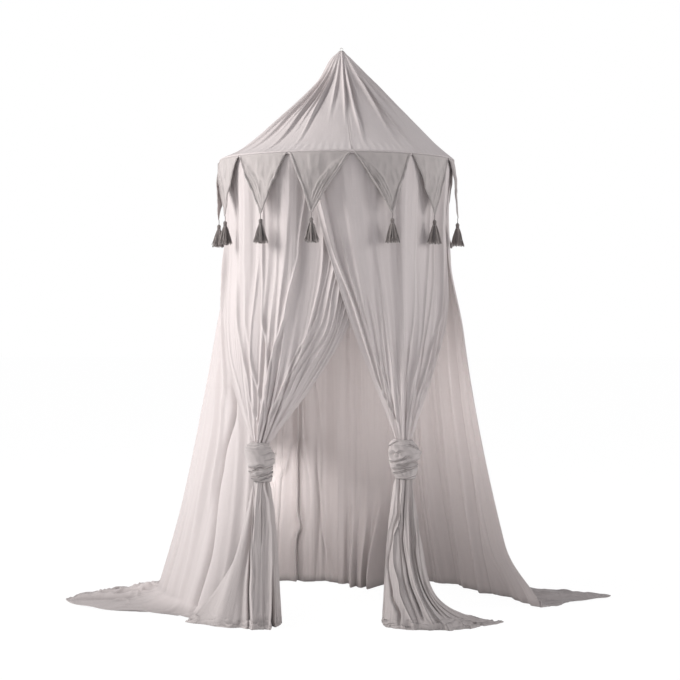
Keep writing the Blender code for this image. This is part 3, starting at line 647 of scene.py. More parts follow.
def add_casing():
    slot = math.degrees(CASING_SLOT / HOOP_RADIUS)
    start = math.radians(SEAM_BEARING + 172.5 + slot / 2)
    shape = bmesh.new()
    ring = bmesh.ops.create_circle(shape, segments=20, radius=CASING_RADIUS + 0.0001,
                                   matrix=Matrix.Rotation(math.pi / 2, 4, "X"))
    bmesh.ops.translate(shape, verts=ring["verts"], vec=(HOOP_RADIUS, 0, 0))
    bmesh.ops.rotate(shape, verts=ring["verts"], cent=(0, 0, 0),
                     matrix=Matrix.Rotation(start - math.pi / 2, 3, "Z"))
    geometry = shape.verts[:] + shape.edges[:]
    bmesh.ops.spin(shape, geom=geometry, cent=(0, 0, 0), axis=(0, 0, 1),
                   angle=math.tau - math.radians(slot), steps=288)
    for vert in shape.verts:
        bearing = math.atan2(vert.co.y, vert.co.x)
        middle = Vector((math.cos(bearing), math.sin(bearing), 0.0)) * HOOP_RADIUS
        pucker = (1.0 + 0.02 * math.sin(bearing * 144)
                  + 0.015 * drift(bearing * 30, vert.co.z * 90, 6))
        vert.co = middle + (vert.co - middle) * max(pucker, 0.995)
    bmesh.ops.translate(shape, verts=shape.verts[:], vec=(HOOP_SHIFT, 0, HOOP_Z))
    bmesh.ops.recalc_face_normals(shape, faces=shape.faces[:])
    lay_weave(shape, lambda vert: (
        (math.atan2(vert.co.y, vert.co.x - HOOP_SHIFT) * HOOP_RADIUS, vert.co.z), (1.0, 0.0)))
    mark_folds(shape)
    casing = piece_of("casing", shape, canopy_cotton, GAUZE)
    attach(casing, "canopy")
    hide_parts("hoop_casing")


def add_loop_tape():
    """A folded tape round the hook above and round the toggle below, stitched in between."""
    tape, width, strips, toggle_radius = 0.0011, 0.008, 6, 0.0025
    low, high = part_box("apex_toggle")
    toggle_z = (low.z + high.z) / 2
    half_tape = 0.0006
    eye = 0.005 + half_tape
    low_eye = toggle_radius + SEAT_GAP + half_tape
    neck = 0.0014
    half = [(eye * math.sin(math.pi / 2 * k / 12),
             half_tape - eye + eye * math.cos(math.pi / 2 * k / 12)) for k in range(13)]
    half += [(blend(eye, neck, smooth(k / 8)), blend(half_tape - eye, TIP_Z, k / 8))
             for k in range(1, 9)]
    half += [(neck, toggle_z + 2 * low_eye)]
    half += [(low_eye * math.cos(turn), toggle_z + low_eye * math.sin(turn))
             for turn in (0.6, 0.3, 0.0, -0.3, -0.6, -0.9, -1.2)]
    half += [(0.0, toggle_z - low_eye)]
    path = half + [(-x, z) for x, z in reversed(half[1:-1])]
    shape = bmesh.new()
    verts = [shape.verts.new((x, -width / 2, z)) for x, z in path]
    edges = [shape.edges.new(pair) for pair in zip(verts, verts[1:] + verts[:1])]
    for _ in range(strips):
        edges, _ = draw_out(shape, edges, (0, width / strips, 0))
    bmesh.ops.recalc_face_normals(shape, faces=shape.faces[:])
    lay_weave(shape, lambda vert: (
        (vert.co.y, vert.co.z), (HEM * STITCH_LINE - 0.003 + abs(vert.co.y), vert.co.z)))
    loop_tape = piece_of("loop_tape", shape, tape_cotton, tape)
    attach(loop_tape, "canopy")
    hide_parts("hanging_loop")


add_casing()
add_loop_tape()
shown = [("apex_washer", beech), ("apex_toggle", beech)]
for number in range(1, 5):
    shown += [(f"hoop_rod_{number}", rod_plastic), (f"hoop_ferrule_{number}", ferrule_steel)]
for node, finish in shown:
    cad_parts[node].data.materials.clear()
    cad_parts[node].data.materials.append(finish)


# Pennants

def pennant_place(number, bearing, sway):
    """A pennant whose top edge follows the hoop and whose tip hangs a little to one side."""
    half = HOOP_RADIUS * math.radians(PENNANT_STEP) / 2 - NOTCH_GAP
    facing = Matrix.Rotation(math.radians(bearing), 3, "Z")
    hinge = around(PENNANT_RADIUS, bearing, HOOP_Z)
    pulled = -1.0 if sway < 0 else 1.0

    def place(u, v):
        reach = blend(half, PENNANT_TIP / 2, v)
        column = round(u * PENNANT_COLUMNS)
        inner = len(PENNANT_MARKS)
        from_edge = min(column, PENNANT_COLUMNS - column)
        if from_edge < inner:
            offset = min(PENNANT_MARKS[from_edge], reach * from_edge / inner)
        else:
            start = min(PENNANT_MARKS[-1], reach * (inner - 1) / inner)
            step = (from_edge - inner + 1) / (PENNANT_COLUMNS / 2 - inner + 1)
            offset = blend(start, reach, step)
        way = -1.0 if column * 2 < PENNANT_COLUMNS else 1.0
        side = way * (reach - offset)
        bow = (0.0035 * drift(v * 2.2, way * 3.0, number) - 0.003 * way) * (1.0 - offset / reach)
        angle = (side + bow * math.sin(math.pi * v)) / PENNANT_RADIUS
        curl = 0.012 * (side / half) ** 2 * smooth(v / 0.4) * (1 - v)
        tension = 0.0
        for fan in (0.08, 0.24, 0.42, 0.62):
            line = pulled * half * (1 - v) * (2.4 * fan * v - 1.0)
            tension += ridge(side - line, 0.0055) * math.sin(math.pi * min(v / 0.85, 1)) ** 0.7
        tension *= 0.0055 * min(0.25 + abs(sway) / 0.02, 1.2)
        down = math.sin(math.pi * min(v + 0.04, 1.0)) ** 0.5
        ripple = (0.0040 * drift(side * 21, v * 2.4, number + 20)
                  + 0.0020 * drift(side * 60, v * 6.0, number + 50)) * down
        rim = 0.0
        if offset < PENNANT_HEM:
            rim = 0.0032 * math.sin(math.pi * min(offset / PENNANT_HEM, 1.0)) ** 0.5 + 0.0004
        elif offset < PENNANT_HEM + 0.002:
            rim = -0.0012
        out = PENNANT_FLARE * v + tension + ripple + curl + rim * smooth(v / 0.03 + 0.2)
        point = Vector((PENNANT_RADIUS * math.sin(angle) + sway * v,
                        PENNANT_RADIUS * (1.0 - math.cos(angle)) - out * smooth(v / 0.06),
                        -PENNANT_DROP * v))
        return hinge + facing @ point
    return place


def add_pennants():
    for number, sway in enumerate(TIP_SWAY):
        bearing = SEAM_BEARING + PENNANT_STEP * (number + 0.5)
        label = f"{number + 1:02d}"
        place = pennant_place(number, bearing, sway)
        flag = cloth(f"flag_{label}", (PENNANT_COLUMNS, PENNANT_ROWS), place, (0.234, 0.232),
                     shade_painted_pennant_cotton)
        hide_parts(f"pennant_{label}")
        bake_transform(flag)
        add_tassel(label, bearing, sway, number)


# Tassels

def add_strand(shape, points, radius, sides=4):
    """A round strand through points, made by pulling a small ring along them."""
    axis = (points[1] - points[0]).normalized()
    turn = axis.to_track_quat("Z", "Y").to_matrix().to_4x4()
    ring = bmesh.ops.create_circle(shape, cap_ends=True, segments=sides, radius=radius,
                                   matrix=Matrix.Translation(points[0]) @ turn)
    edges = list({edge for vert in ring["verts"] for edge in vert.link_edges})
    for before, after in zip(points, points[1:]):
        edges, end = draw_out(shape, edges, after - before)
    bmesh.ops.contextual_create(shape, geom=end)


def tassel_shape(seed):
    """A yarn tassel hung from the origin: cord, bound head, neck windings, skirt of strands."""
    spread = random.Random(seed)
    shape = bmesh.new()
    cord = [Vector((0.0006 * math.sin(7 * k), 0.0006 * math.cos(5 * k), 0.0014 - 0.0042 * k))
            for k in range(6)]
    add_strand(shape, cord, 0.0013, 8)
    profile = [(0.0010, -0.0165), (0.0042, -0.0180), (0.0064, -0.0210),
               (TASSEL_HEAD_RADIUS, -0.0250), (0.0070, -0.0285), (0.0056, -0.0315),
               (0.0050, -0.0345), (0.0046, -0.038)]
    verts = [shape.verts.new((radius, 0.0, height)) for radius, height in profile]
    edges = [shape.edges.new(pair) for pair in zip(verts, verts[1:])]
    bmesh.ops.spin(shape, geom=verts + edges, cent=(0, 0, 0), axis=(0, 0, 1), angle=math.tau,
                   steps=14, use_merge=True)
    for height in (-0.0312, -0.0332, -0.0352):
        loop = [Vector((0.0060 * math.cos(turn), 0.0060 * math.sin(turn), height + 0.0002 * turn))
                for turn in (math.tau * k / 12 for k in range(13))]
        add_strand(shape, loop, 0.0011, 5)
    tone = shape.loops.layers.uv.new("strand")
    for face in shape.faces:
        for loop in face.loops:
            loop[tone].uv = (0.35, 0.5)
    for strand in range(STRANDS):
        turn = strand * STRAND_TURN
        share = math.sqrt((strand + 0.5) / STRANDS) * spread.uniform(0.88, 1.06)
        length = TASSEL_DROP - spread.uniform(0.0, 0.012)
        sideways = spread.uniform(-0.2, 0.2)
        bulge = spread.uniform(0.62, 1.0)
        wavy = spread.uniform(0.0005, 0.0015)
        lightness = spread.random()
        points = []
        for step in range(8):
            down = step / 7
            reach = blend(0.0044 * share, TASSEL_SKIRT_RADIUS * share, down ** bulge)
            reach += wavy * math.sin(strand + 9 * down) * down
            angle = turn + sideways * down
            points.append(Vector((reach * math.cos(angle), reach * math.sin(angle),
                                  blend(TASSEL_NECK_Z, -length, down))))
        made = len(shape.faces)
        add_strand(shape, points, STRAND_RADIUS)
        shape.faces.ensure_lookup_table()
        # Painted light and shade: each strand is painted paler or darker, in a few bands round the
        # tassel and at random, as painted highlights and painted shade between the strands.
        painted_strand_light = 0.28 + 0.28 * math.sin(5 * turn + seed) + 0.36 * lightness
        for face in shape.faces[made:]:
            for loop in face.loops:
                loop[tone].uv = (painted_strand_light, 0.5)
    bmesh.ops.recalc_face_normals(shape, faces=shape.faces[:])
    return shape


def add_tassel(label, bearing, sway, seed):
    hinge = around(PENNANT_RADIUS, bearing, HOOP_Z)
    facing = Matrix.Rotation(math.radians(bearing), 3, "Z")
    tip = hinge + facing @ Vector((sway, -PENNANT_FLARE, -PENNANT_DROP - TASSEL_HANG))
    shape = tassel_shape(seed)
    bmesh.ops.translate(shape, verts=shape.verts[:], vec=tip)
    yarns = piece_of(f"yarn_tassel_{label}", shape, tassel_yarn)
    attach(yarns, f"tassel_{label}")
    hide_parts(f"tassel_{label}")


add_pennants()


# Front curtains

def seat_under_casing(layer):
    """Height of a top edge sewn under the casing, off the hoop line by layer."""
    return HOOP_Z - math.sqrt(CASING_RADIUS ** 2 - layer ** 2) - SEAT_GAP


def waist(drop, bearing):
    """How far the cloth stands in at a drop below the hoop, to leave the tassels room."""
    turn = math.radians((bearing - SEAM_BEARING) * PENNANT_COUNT)
    behind = smooth((0.9 - math.cos(turn)) / 0.9)
    depth = WAIST * blend(WAIST_LEAST, 1.0, behind)
    return depth * smooth(drop / WAIST_TOP) * (1.0 - smooth((drop - WAIST_END) / WAIST_FADE))


def throat_offset(u, side):
    """Place of the gathered cloth round a throat: leading edge, front, outer edge."""
    angle = math.radians(blend(-THROAT_TURN, THROAT_TURN, u))
    return Vector((side * THROAT * math.sin(angle), -THROAT * math.cos(angle)))


def ball_height(offset, half_width):
    """Height of the knot's ball over its centre, at a plan offset."""
    inside = 1.0 - (offset.x / half_width) ** 2 - (offset.y / KNOT_BALL) ** 2
    return KNOT_BALL * math.sqrt(max(inside, 0.2))


# A fold is a line of (share of the way down, place across) points, a height and a width. A last
# number, the way it faces, makes it the edge of a layer and not a rounded fold.

DRAPE_LEFT = (
    (((0.30, 0.97), (0.69, 0.95), (0.87, 0.87), (0.98, 0.68)), 0.005, 0.014),
    (((0.02, 0.875), (0.31, 0.863), (0.54, 0.823), (0.84, 0.75), (0.98, 0.56)), 0.009, 0.014),
    (((0.02, 0.77), (0.35, 0.78), (0.55, 0.76), (0.85, 0.69)), 0.005, 0.016),
    (((0.45, 0.69), (0.68, 0.717), (0.93, 0.59)), 0.008, 0.010),
    (((0.02, 0.66), (0.35, 0.66), (0.51, 0.64), (0.76, 0.57), (0.93, 0.545)), 0.008, 0.010),
    (((0.02, 0.58), (0.3, 0.575), (0.6, 0.562), (0.85, 0.556)), 0.004, 0.012),
    (((0.02, 0.50), (0.25, 0.505), (0.5, 0.53)), 0.004, 0.014),
    (((0.02, 0.42), (0.33, 0.443), (0.54, 0.49), (0.76, 0.557), (0.95, 0.585)), 0.012, 0.013),
    (((0.25, 0.33), (0.45, 0.313), (0.68, 0.333), (0.83, 0.423), (0.96, 0.54)), 0.009, 0.011),
    (((0.30, 0.285), (0.40, 0.28), (0.54, 0.287), (0.76, 0.40), (0.96, 0.50)), 0.006, 0.008),
    (((0.38, 0.25), (0.57, 0.24), (0.78, 0.355), (0.95, 0.43)), 0.007, 0.008),
    (((0.38, 0.222), (0.46, 0.223), (0.61, 0.193), (0.80, 0.31), (0.96, 0.37)), 0.007, 0.008),
    (((0.42, 0.19), (0.62, 0.155), (0.81, 0.23), (0.95, 0.30)), 0.008, 0.009),
    (((0.45, 0.15), (0.51, 0.145), (0.64, 0.105), (0.84, 0.15), (0.96, 0.24)), 0.007, 0.009),
    (((0.50, 0.10), (0.70, 0.06), (0.85, 0.08), (0.96, 0.17)), 0.008, 0.010),
    (((0.50, 0.05), (0.71, 0.015), (0.84, 0.015), (0.98, 0.12)), 0.005, 0.010),
)
DRAPE_RIGHT = (
    (((0.03, 0.040), (0.33, 0.042), (0.56, 0.088), (0.77, 0.105), (0.96, 0.33)), 0.013, 0.013),
    (((0.03, 0.065), (0.33, 0.067), (0.56, 0.115), (0.77, 0.135), (0.96, 0.36)), -0.006, 0.012),
    (((0.35, 0.12), (0.50, 0.130), (0.64, 0.165), (0.84, 0.275), (0.97, 0.41)), 0.007, 0.012),
    (((0.03, 0.22), (0.4, 0.225), (0.75, 0.29), (0.95, 0.40)), 0.004, 0.022),
    (((0.30, 0.33), (0.60, 0.345), (0.95, 0.44)), 0.005, 0.016),
    (((0.05, 0.487), (0.61, 0.487), (0.93, 0.473)), 0.006, 0.018),
    (((0.05, 0.60), (0.5, 0.59), (0.9, 0.52)), 0.005, 0.014),
    (((0.03, 0.72), (0.32, 0.713), (0.61, 0.667), (0.84, 0.60), (0.97, 0.53)), 0.009, 0.012),
    (((0.10, 0.77), (0.4, 0.765), (0.7, 0.705), (0.93, 0.62)), 0.007, 0.010),
    (((0.03, 0.82), (0.28, 0.817), (0.56, 0.837), (0.71, 0.777), (0.90, 0.68), (0.98, 0.6)),
     0.011, 0.011),
    (((0.05, 0.88), (0.5, 0.90), (0.7, 0.86), (0.88, 0.77)), 0.006, 0.010),
    (((0.20, 0.94), (0.42, 0.947), (0.62, 0.965), (0.77, 0.907), (0.92, 0.74)), 0.007, 0.010),
)


def fold_height(folds, along_it, across, ease, wander, widen=1.0):
    """Height of a list of folds at a place along and across a cloth."""
    height = 0.0
    for points, rise, width, *edge in folds:
        fade = fades(along_it, points[0][0], points[-1][0], ease)
        if not fade:
            continue
        offset = across - level(points, along_it) + wander
        wide = width * widen
        height += rise * fade * (lip(edge[0] * offset, wide) if edge else ridge(offset, wide))
    return height


def curtain_place(side, edges, knot, knot_z, half_width, slacks, billow, layer, behind, clefts,
                  folds, seed):
    """place(u, v) of a front curtain, from the casing down to its knot."""
    top_z = seat_under_casing(layer)

    def place(u, v):
        bearing_at = blend(edges[0], edges[1], u)
        bearing = math.radians(bearing_at)
        throat = throat_offset(u, side)
        wave = math.cos(math.tau * CURTAIN_FOLDS * u)
        nearest = throat * (1.0 + (THROAT_FOLD * wave - SOLID_CLOTH / 2) / THROAT)
        end_z = knot_z + ball_height(nearest, half_width) - 0.004
        z = blend(top_z, end_z, v)
        drop = top_z - z
        reach = HOOP_RADIUS + layer - waist(drop, bearing_at)
        reach += billow * u ** 3 * math.sin(math.pi * min(max(v - 0.25, 0.0) / 0.55, 1.0))
        pull = v ** blend(slacks[0], slacks[1], u ** 1.5)
        x = blend(reach * math.sin(bearing), knot[0] + throat.x, pull)
        edge = reach * math.cos(bearing)
        cylinder = -math.sqrt(max(reach ** 2 - x ** 2, edge ** 2 * (1.0 - pull)))
        y = blend(cylinder, knot[1] + throat.y, smooth((v - 0.3) / 0.7) ** 1.3)
        inner = smooth((CROSS_HALF - side * x) / CROSS_EASE) if behind else 0.0
        gone = 1.0 - smooth((v - 0.6) / 0.3)
        y += OVERLAP_GAP * inner * smooth(drop / CROSS_DROP) * gone
        out = Vector((x, y)).normalized().lerp(throat.normalized(), v ** 3)
        throat_near = smooth((v - 0.72) / 0.28)
        size = blend(CURTAIN_FOLD * smooth(0.2 + drop / FOLD_DROP), THROAT_FOLD, throat_near)
        wander = u + 0.016 * drift(u * 4, v * 1.1, seed)
        slow = 0.5 + 0.8 * max(drift(u * 4.3, v * 0.8, seed + 7), -0.5)
        height = 0.75 * size * math.cos(math.tau * CURTAIN_FOLDS * wander) * slow
        drawn = fold_height(folds, v, u, 0.12, 0.005 * drift(v * 5, u * 8, seed + 5),
                            blend(1.0, 1.5, throat_near))
        height += drawn * (blend(0.6, 1.0, smooth(v / 0.35)) * blend(1.0, 0.45, throat_near))
        lower = smooth((v - 0.35) / 0.45)
        fine = crest(wander * 17.0 + 0.5 * drift(u * 6, v * 1.2, seed + 1))
        fine *= patchy(0.25, u * 8, v * 1.4, seed + 2)
        finer = math.cos(math.tau * (wander * 39.0 + 0.5 * drift(u * 9, v * 1.8, seed + 3)))
        finer *= patchy(0.3, u * 11, v * 2.0, seed + 9)
        calm = smooth((0.95 - u) / 0.4) if behind else smooth(u / 0.3)
        calm = blend(0.3, 1.0, max(calm, throat_near)) * (1.0 - 0.4 * throat_near)
        height += blend(0.0030, 0.0058, lower) * calm * fine
        height += blend(0.0006, 0.0018, lower) * calm * finer
        for middle, depth, width in clefts:
            height -= depth * smooth((v - 0.55) / 0.42) * ridge(u - middle, width)
        height *= smooth(drop / 0.05)
        x, y = x + out.x * height, y + out.y * height
        return Vector((x + HOOP_SHIFT, y, z))

    return place


# Knots. An outline's entries are a height, a half width and how far the knot leans over there.
# A crease is the lower edge of a layer: (turn, height) points, how far the layer stands off, the
# width of its edge

OUTLINE_LEFT = ((0.0480, 0.014, 0.0), (0.0470, 0.025, -0.003), (0.0435, 0.034, -0.007),
                (0.036, 0.0425, -0.010), (0.027, 0.0485, -0.010), (0.016, 0.0525, -0.008),
                (0.001, 0.0535, -0.003), (-0.028, 0.0515, 0.0),
                (-0.043, 0.0475, 0.0), (-0.062, 0.0465, 0.0), (-0.078, 0.043, 0.002),
                (-0.090, 0.038, 0.004), (-0.0985, 0.033, 0.006), (-0.0995, 0.027, 0.006))
CREASES_LEFT = (
    (((-75, -0.049), (-30, -0.047), (0, -0.040), (25, -0.047), (60, -0.043), (110, -0.036),
      (180, -0.043), (260, -0.049)), 0.0042, 0.0042),
    (((-70, -0.066), (-45, -0.061), (-12, -0.052)), 0.0030, 0.0032),
    (((-60, -0.081), (-30, -0.079), (5, -0.0715), (35, -0.0665), (75, -0.058), (120, -0.062),
      (200, -0.075)), -0.0036, 0.0032),
    (((-40, -0.092), (0, -0.088), (30, -0.081), (70, -0.073), (130, -0.080), (210, -0.087)),
     -0.0030, 0.0030),
    (((-20, 0.030), (20, 0.036), (60, 0.030)), -0.0012, 0.0030),
    (((20, 0.006), (50, 0.012), (85, 0.010)), -0.0014, 0.0028),
    (((35, -0.014), (60, -0.010), (90, -0.014)), -0.0012, 0.0026),
)
OUTLINE_RIGHT = ((0.0480, 0.016, 0.0), (0.047, 0.027, -0.002), (0.043, 0.037, -0.003),
                 (0.036, 0.044, -0.004),
                 (0.0254, 0.051, -0.003), (0.010, 0.056, 0.002), (-0.004, 0.0595, 0.005),
                 (-0.022, 0.057, 0.003), (-0.038, 0.053, 0.0), (-0.053, 0.0525, 0.003),
                 (-0.072, 0.0465, 0.002), (-0.088, 0.040, 0.006), (-0.098, 0.034, 0.007),
                 (-0.0995, 0.028, 0.007))
CREASES_RIGHT = (
    (((28, 0.028), (42, 0.024), (60, 0.016), (85, 0.006), (130, 0.002)), -0.0036, 0.0030),
    (((-70, -0.036), (-45, -0.035), (-14, -0.0275), (8, -0.016)), 0.0034, 0.0032),
    (((-22, -0.047), (0, -0.0455), (28, -0.036), (80, -0.033), (150, -0.038), (230, -0.044)),
     0.0046, 0.0036),
    (((-75, -0.064), (-34, -0.061), (0, -0.056), (24, -0.058), (80, -0.050), (170, -0.056),
      (250, -0.062)), 0.0036, 0.0032),
    (((-75, -0.080), (-40, -0.075), (-10, -0.070), (14, -0.063)), 0.0032, 0.0030),
    (((-50, -0.092), (0, -0.090), (60, -0.084), (150, -0.086), (230, -0.090)), -0.0014, 0.0030),
    (((-75, 0.020), (-55, 0.030), (-35, 0.036)), 0.0026, 0.0034),
    (((-50, 0.002), (-35, -0.004), (-18, 0.004)), 0.0022, 0.0026),
)
DIMPLES_LEFT = ((-58, -0.060, 0.0035, 9.0, 0.006), (0, -0.056, 0.0030, 16.0, 0.007))
DIMPLES_RIGHT = ((-53, -0.006, 0.0050, 9.0, 0.005), (72, -0.034, 0.0045, 12.0, 0.005),
                 (-24, -0.010, 0.0030, 6.0, 0.008))


def outline_at(outline, height):
    for high, low in zip(outline, outline[1:]):
        if height >= low[0]:
            share = min(max((high[0] - height) / (high[0] - low[0]), 0.0), 1.0)
            return blend(high[1], low[1], share), blend(high[2], low[2], share)
    return outline[-1][1:]


def turn_past(turn, start):
    """A turn in degrees, as the same place counted on from start."""
    return (turn - start) % 360.0 + start


def knot_place(knot, knot_z, outline, creases, dimples, seed):
    """place(u, v) of a knot's skin, from under the curtain's throat down to the tail's."""
    high, low = outline[0][0], outline[-1][0]

    def place(u, v):
        turn = 360.0 * u
        angle = math.radians(turn)
        height = blend(high, low, min(max((v - KNOT_CAP) / (1.0 - 2 * KNOT_CAP), 0.0), 1.0))
        wide, lean = outline_at(outline, height)
        deep = min(wide, KNOT_BALL)
        layers = 0.0
        for points, lift, width in creases:
            start, end = points[0][0], points[-1][0]
            at = turn_past(turn, start - 30.0)
            fade = fades(at, start, end, 25.0)
            if fade:
                apart = height - level(points, at)
                layers += 0.6 * lift * fade * lip(apart, 1.6 * width)
                layers -= 2.7 * abs(lift) * fade * math.exp(-abs(apart) / (0.75 * width))
        for middle, where, depth, spread, tall in dimples:
            near = ((turn - middle + 180.0) % 360.0 - 180.0) / spread
            layers -= 1.5 * depth * math.exp(-near ** 2 - ((height - where) / tall) ** 2)
        around_it = (math.cos(angle) * 2.0, math.sin(angle) * 2.0)
        layers += 0.0026 * drift(around_it[0] + height * 12, around_it[1] + height * 20, seed)
        layers += 0.0010 * drift(around_it[0] * 1.3 + height * 45, around_it[1] * 1.3, seed + 3)
        inside = min(v / KNOT_CAP, (1.0 - v) / KNOT_CAP, 1.0)
        grow = 1.0 + layers / deep
        return Vector((knot[0] + HOOP_SHIFT + inside * (lean + wide * grow * math.sin(angle)),
                       knot[1] - inside * deep * grow * math.cos(angle),
                       knot_z + height + 0.002 * (1.0 - inside) * (1 if v < 0.5 else -0.2)))
    return place


# Tails, with folds along (share of the drop, place across) points

FOLDS_LEFT = (
    (((0.0, 0.315), (0.15, 0.25), (0.35, 0.222), (1.0, 0.225)), -0.055, 0.026),
    (((0.0, 0.335), (0.15, 0.27), (0.35, 0.250), (1.0, 0.265)), 0.010, 0.014, 1),
    (((0.0, 0.39), (0.15, 0.31), (0.35, 0.28), (1.0, 0.29)), 0.018, 0.020),
    (((0.0, 0.80), (0.29, 0.63), (0.66, 0.54), (1.0, 0.50)), -0.022, 0.016),
    (((0.0, 0.76), (0.29, 0.59), (0.66, 0.505), (1.0, 0.47)), 0.008, 0.014),
    (((0.0, 0.57), (0.35, 0.54)), 0.006, 0.014),
    (((0.0, 0.44), (0.35, 0.40)), -0.006, 0.012),
    (((0.4, 0.36), (1.0, 0.37)), 0.003, 0.03),
    (((0.1, 0.70), (0.5, 0.62), (1.0, 0.57)), -0.012, 0.050),
    (((0.1, 0.88), (0.5, 0.82), (1.0, 0.76)), 0.016, 0.110),
    (((0.0, 0.16), (0.4, 0.13), (1.0, 0.15)), -0.010, 0.016),
    (((0.2, 0.06), (1.0, 0.07)), 0.006, 0.020),
)
FOLDS_RIGHT = (
    (((0.0, 0.26), (0.2, 0.20), (0.4, 0.07), (1.0, 0.09)), 0.008, 0.018),
    (((0.0, 0.35), (0.22, 0.28), (0.37, 0.15), (0.56, 0.105), (0.76, 0.19), (0.9, 0.27)),
     -0.022, 0.014),
    (((0.0, 0.46), (0.21, 0.40), (0.39, 0.235), (0.51, 0.225), (0.71, 0.285), (0.95, 0.37)),
     0.013, 0.016),
    (((0.0, 0.54), (0.26, 0.445), (0.41, 0.345), (0.6, 0.385), (0.85, 0.45)), -0.022, 0.014),
    (((0.3, 0.30), (0.6, 0.31), (0.9, 0.40)), -0.010, 0.010),
    (((0.0, 0.62), (0.3, 0.56), (0.6, 0.49), (0.9, 0.52)), 0.010, 0.016),
    (((0.0, 0.72), (0.3, 0.66), (0.55, 0.60), (0.75, 0.575), (0.95, 0.60)), 0.015, 0.014),
    (((0.0, 0.79), (0.29, 0.76), (0.52, 0.68), (0.8, 0.66)), -0.026, 0.015),
    (((0.2, 0.86), (0.52, 0.78), (0.8, 0.74), (1.0, 0.74)), 0.010, 0.018),
    (((0.3, 0.93), (0.6, 0.87), (1.0, 0.84)), -0.014, 0.016),
    (((0.5, 0.96), (1.0, 0.93)), 0.007, 0.018),
)


def tail_place(side, hem, knot, knot_z, spread, folds, seed):
    """place(u, v) of a tail, from the wraps down to the floor."""
    top_z = -KNOT_DROP + 0.004
    hem_z = BED_Z - knot_z

    def place(u, v):
        drop = 1.0 - (1.0 - v) ** 1.5
        throat = throat_offset(u, side)
        foot = along(hem, u)
        steady = TAIL_STEADY * u if side > 0 else 0.0
        out_now = steady * drop + (1.0 - steady) * drop ** blend(TAIL_FALL, spread, u ** 2)
        x = blend(throat.x, foot.x, out_now)
        y = blend(throat.y, foot.y, drop ** 1.3)
        z = blend(top_z, hem_z, min(drop / 0.985, 1.0))
        out = throat.normalized().lerp(Vector((0.45 * side * (2 * u - 1), -1.0)).normalized(), drop)
        size = blend(THROAT_FOLD, TAIL_FOLD, smooth(drop / 0.5))
        fold = 0.3 * size * math.cos(math.tau * TAIL_FOLDS * u)
        grown = blend(0.5, 1.0, smooth(drop / 0.3))
        fold += grown * fold_height(folds, drop, u, 0.12, 0.006 * drift(drop * 4, u * 6, seed),
                                    blend(1.5, 1.0, smooth(drop / 0.3)))
        wander = u + 0.02 * drift(u * 4, drop * 1.5, seed + 1)
        plain = 1.0 - 0.8 * smooth((u - 0.5) / 0.08) if side < 0 else 1.0
        fold += 0.0022 * plain * crest(wander * 13.0) * patchy(0.3, u * 7, drop * 2, seed)
        fold += plain * (0.0013 * drift(u * 26, drop * 5, seed + 2)
                         + 0.0009 * drift(u * 60, drop * 12, seed))
        low = smooth((drop - 0.88) / 0.12)
        crumple = low * (1 - smooth((v - 0.975) / 0.025))
        z += crumple * (0.016 * max(drift(u * 13, v * 8, seed + 4), 0.0)
                        + 0.010 * crinkle_line(u * 9, v * 14, seed + 6))
        y -= 0.012 * low * drift(u * 9, v * 5, seed + 8)
        fold *= 1.0 - 0.3 * low
        return Vector((knot[0] + HOOP_SHIFT + x + out.x * fold, knot[1] + y + out.y * fold,
                       knot_z + z))

    return place


# Clefts where a curtain is drawn together: a place across it, a depth and a width

CLEFTS_LEFT = ((0.50, 0.014, 0.022), (0.37, 0.011, 0.020), (0.24, 0.007, 0.020),
               (0.66, 0.005, 0.03))
CLEFTS_RIGHT = ((0.31, 0.013, 0.022), (0.53, 0.013, 0.022), (0.70, 0.006, 0.025),
                (0.16, 0.006, 0.02))


def add_tied_curtain(name, side, cut, tail_cut, edges, knot, knot_z, width, slacks, billow, layer,
                     behind, clefts, drapes, outline, creases, dimples, hem, spread, folds, seed):
    body = f"tie_{name}"
    place = curtain_place(side, edges, knot, knot_z, width / 2, slacks, billow, layer, behind,
                          clefts, drapes, seed)
    drape = cloth(f"drape_{name}", DRAPE_GRID, place, cut, canopy_cotton, "lr")
    place = knot_place(knot, knot_z, outline, creases, dimples, seed)
    wound = cloth(f"wound_{name}", KNOT_GRID, place, (0.33, 0.25), shade_painted_knot_cotton, ring=True,
                  thick=0.0)
    place = tail_place(side, hem, knot, knot_z, spread, folds, seed)
    fall = cloth(f"fall_{name}", TAIL_GRID, place, tail_cut, shade_painted_tail_cotton, "lrf")
    for piece, node in ((drape, f"curtain_{name}"), (wound, f"knot_{name}"),
                        (fall, f"tail_{name}")):
        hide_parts(node)
    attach(wound, body)
    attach(fall, body)
    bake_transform(drape)


add_tied_curtain("left", -1, (0.85, 1.08), (0.56, 0.55), LEFT_CURTAIN, KNOT_LEFT, KNOT_LEFT_Z,
                 KNOT_WIDTH_LEFT, (1.9, 4.2), 0.0, 0.0, True, CLEFTS_LEFT, DRAPE_LEFT, OUTLINE_LEFT,
                 CREASES_LEFT, DIMPLES_LEFT, TAIL_LEFT, 2.1, FOLDS_LEFT, 30)
add_tied_curtain("right", 1, (0.78, 1.05), (0.66, 0.58), RIGHT_CURTAIN, KNOT_RIGHT, KNOT_RIGHT_Z,
                 KNOT_WIDTH_RIGHT, (1.3, 2.4), 0.02, LAYER_STEP, False, CLEFTS_RIGHT, DRAPE_RIGHT,
                 OUTLINE_RIGHT, CREASES_RIGHT, DIMPLES_RIGHT, TAIL_RIGHT, 11.0, FOLDS_RIGHT, 60)


# Walls

def edge_swing(down):
    """How far round the left wall's front edge is drawn, at a share of the way down."""
    forward = smooth((down - EDGE_SWING_SPAN[0]) / (EDGE_SWING_SPAN[1] - EDGE_SWING_SPAN[0]))
    back = smooth((down - EDGE_RETURN_SPAN[0]) / (EDGE_RETURN_SPAN[1] - EDGE_RETURN_SPAN[0]))
    return EDGE_SWING * forward - EDGE_RETURN * back


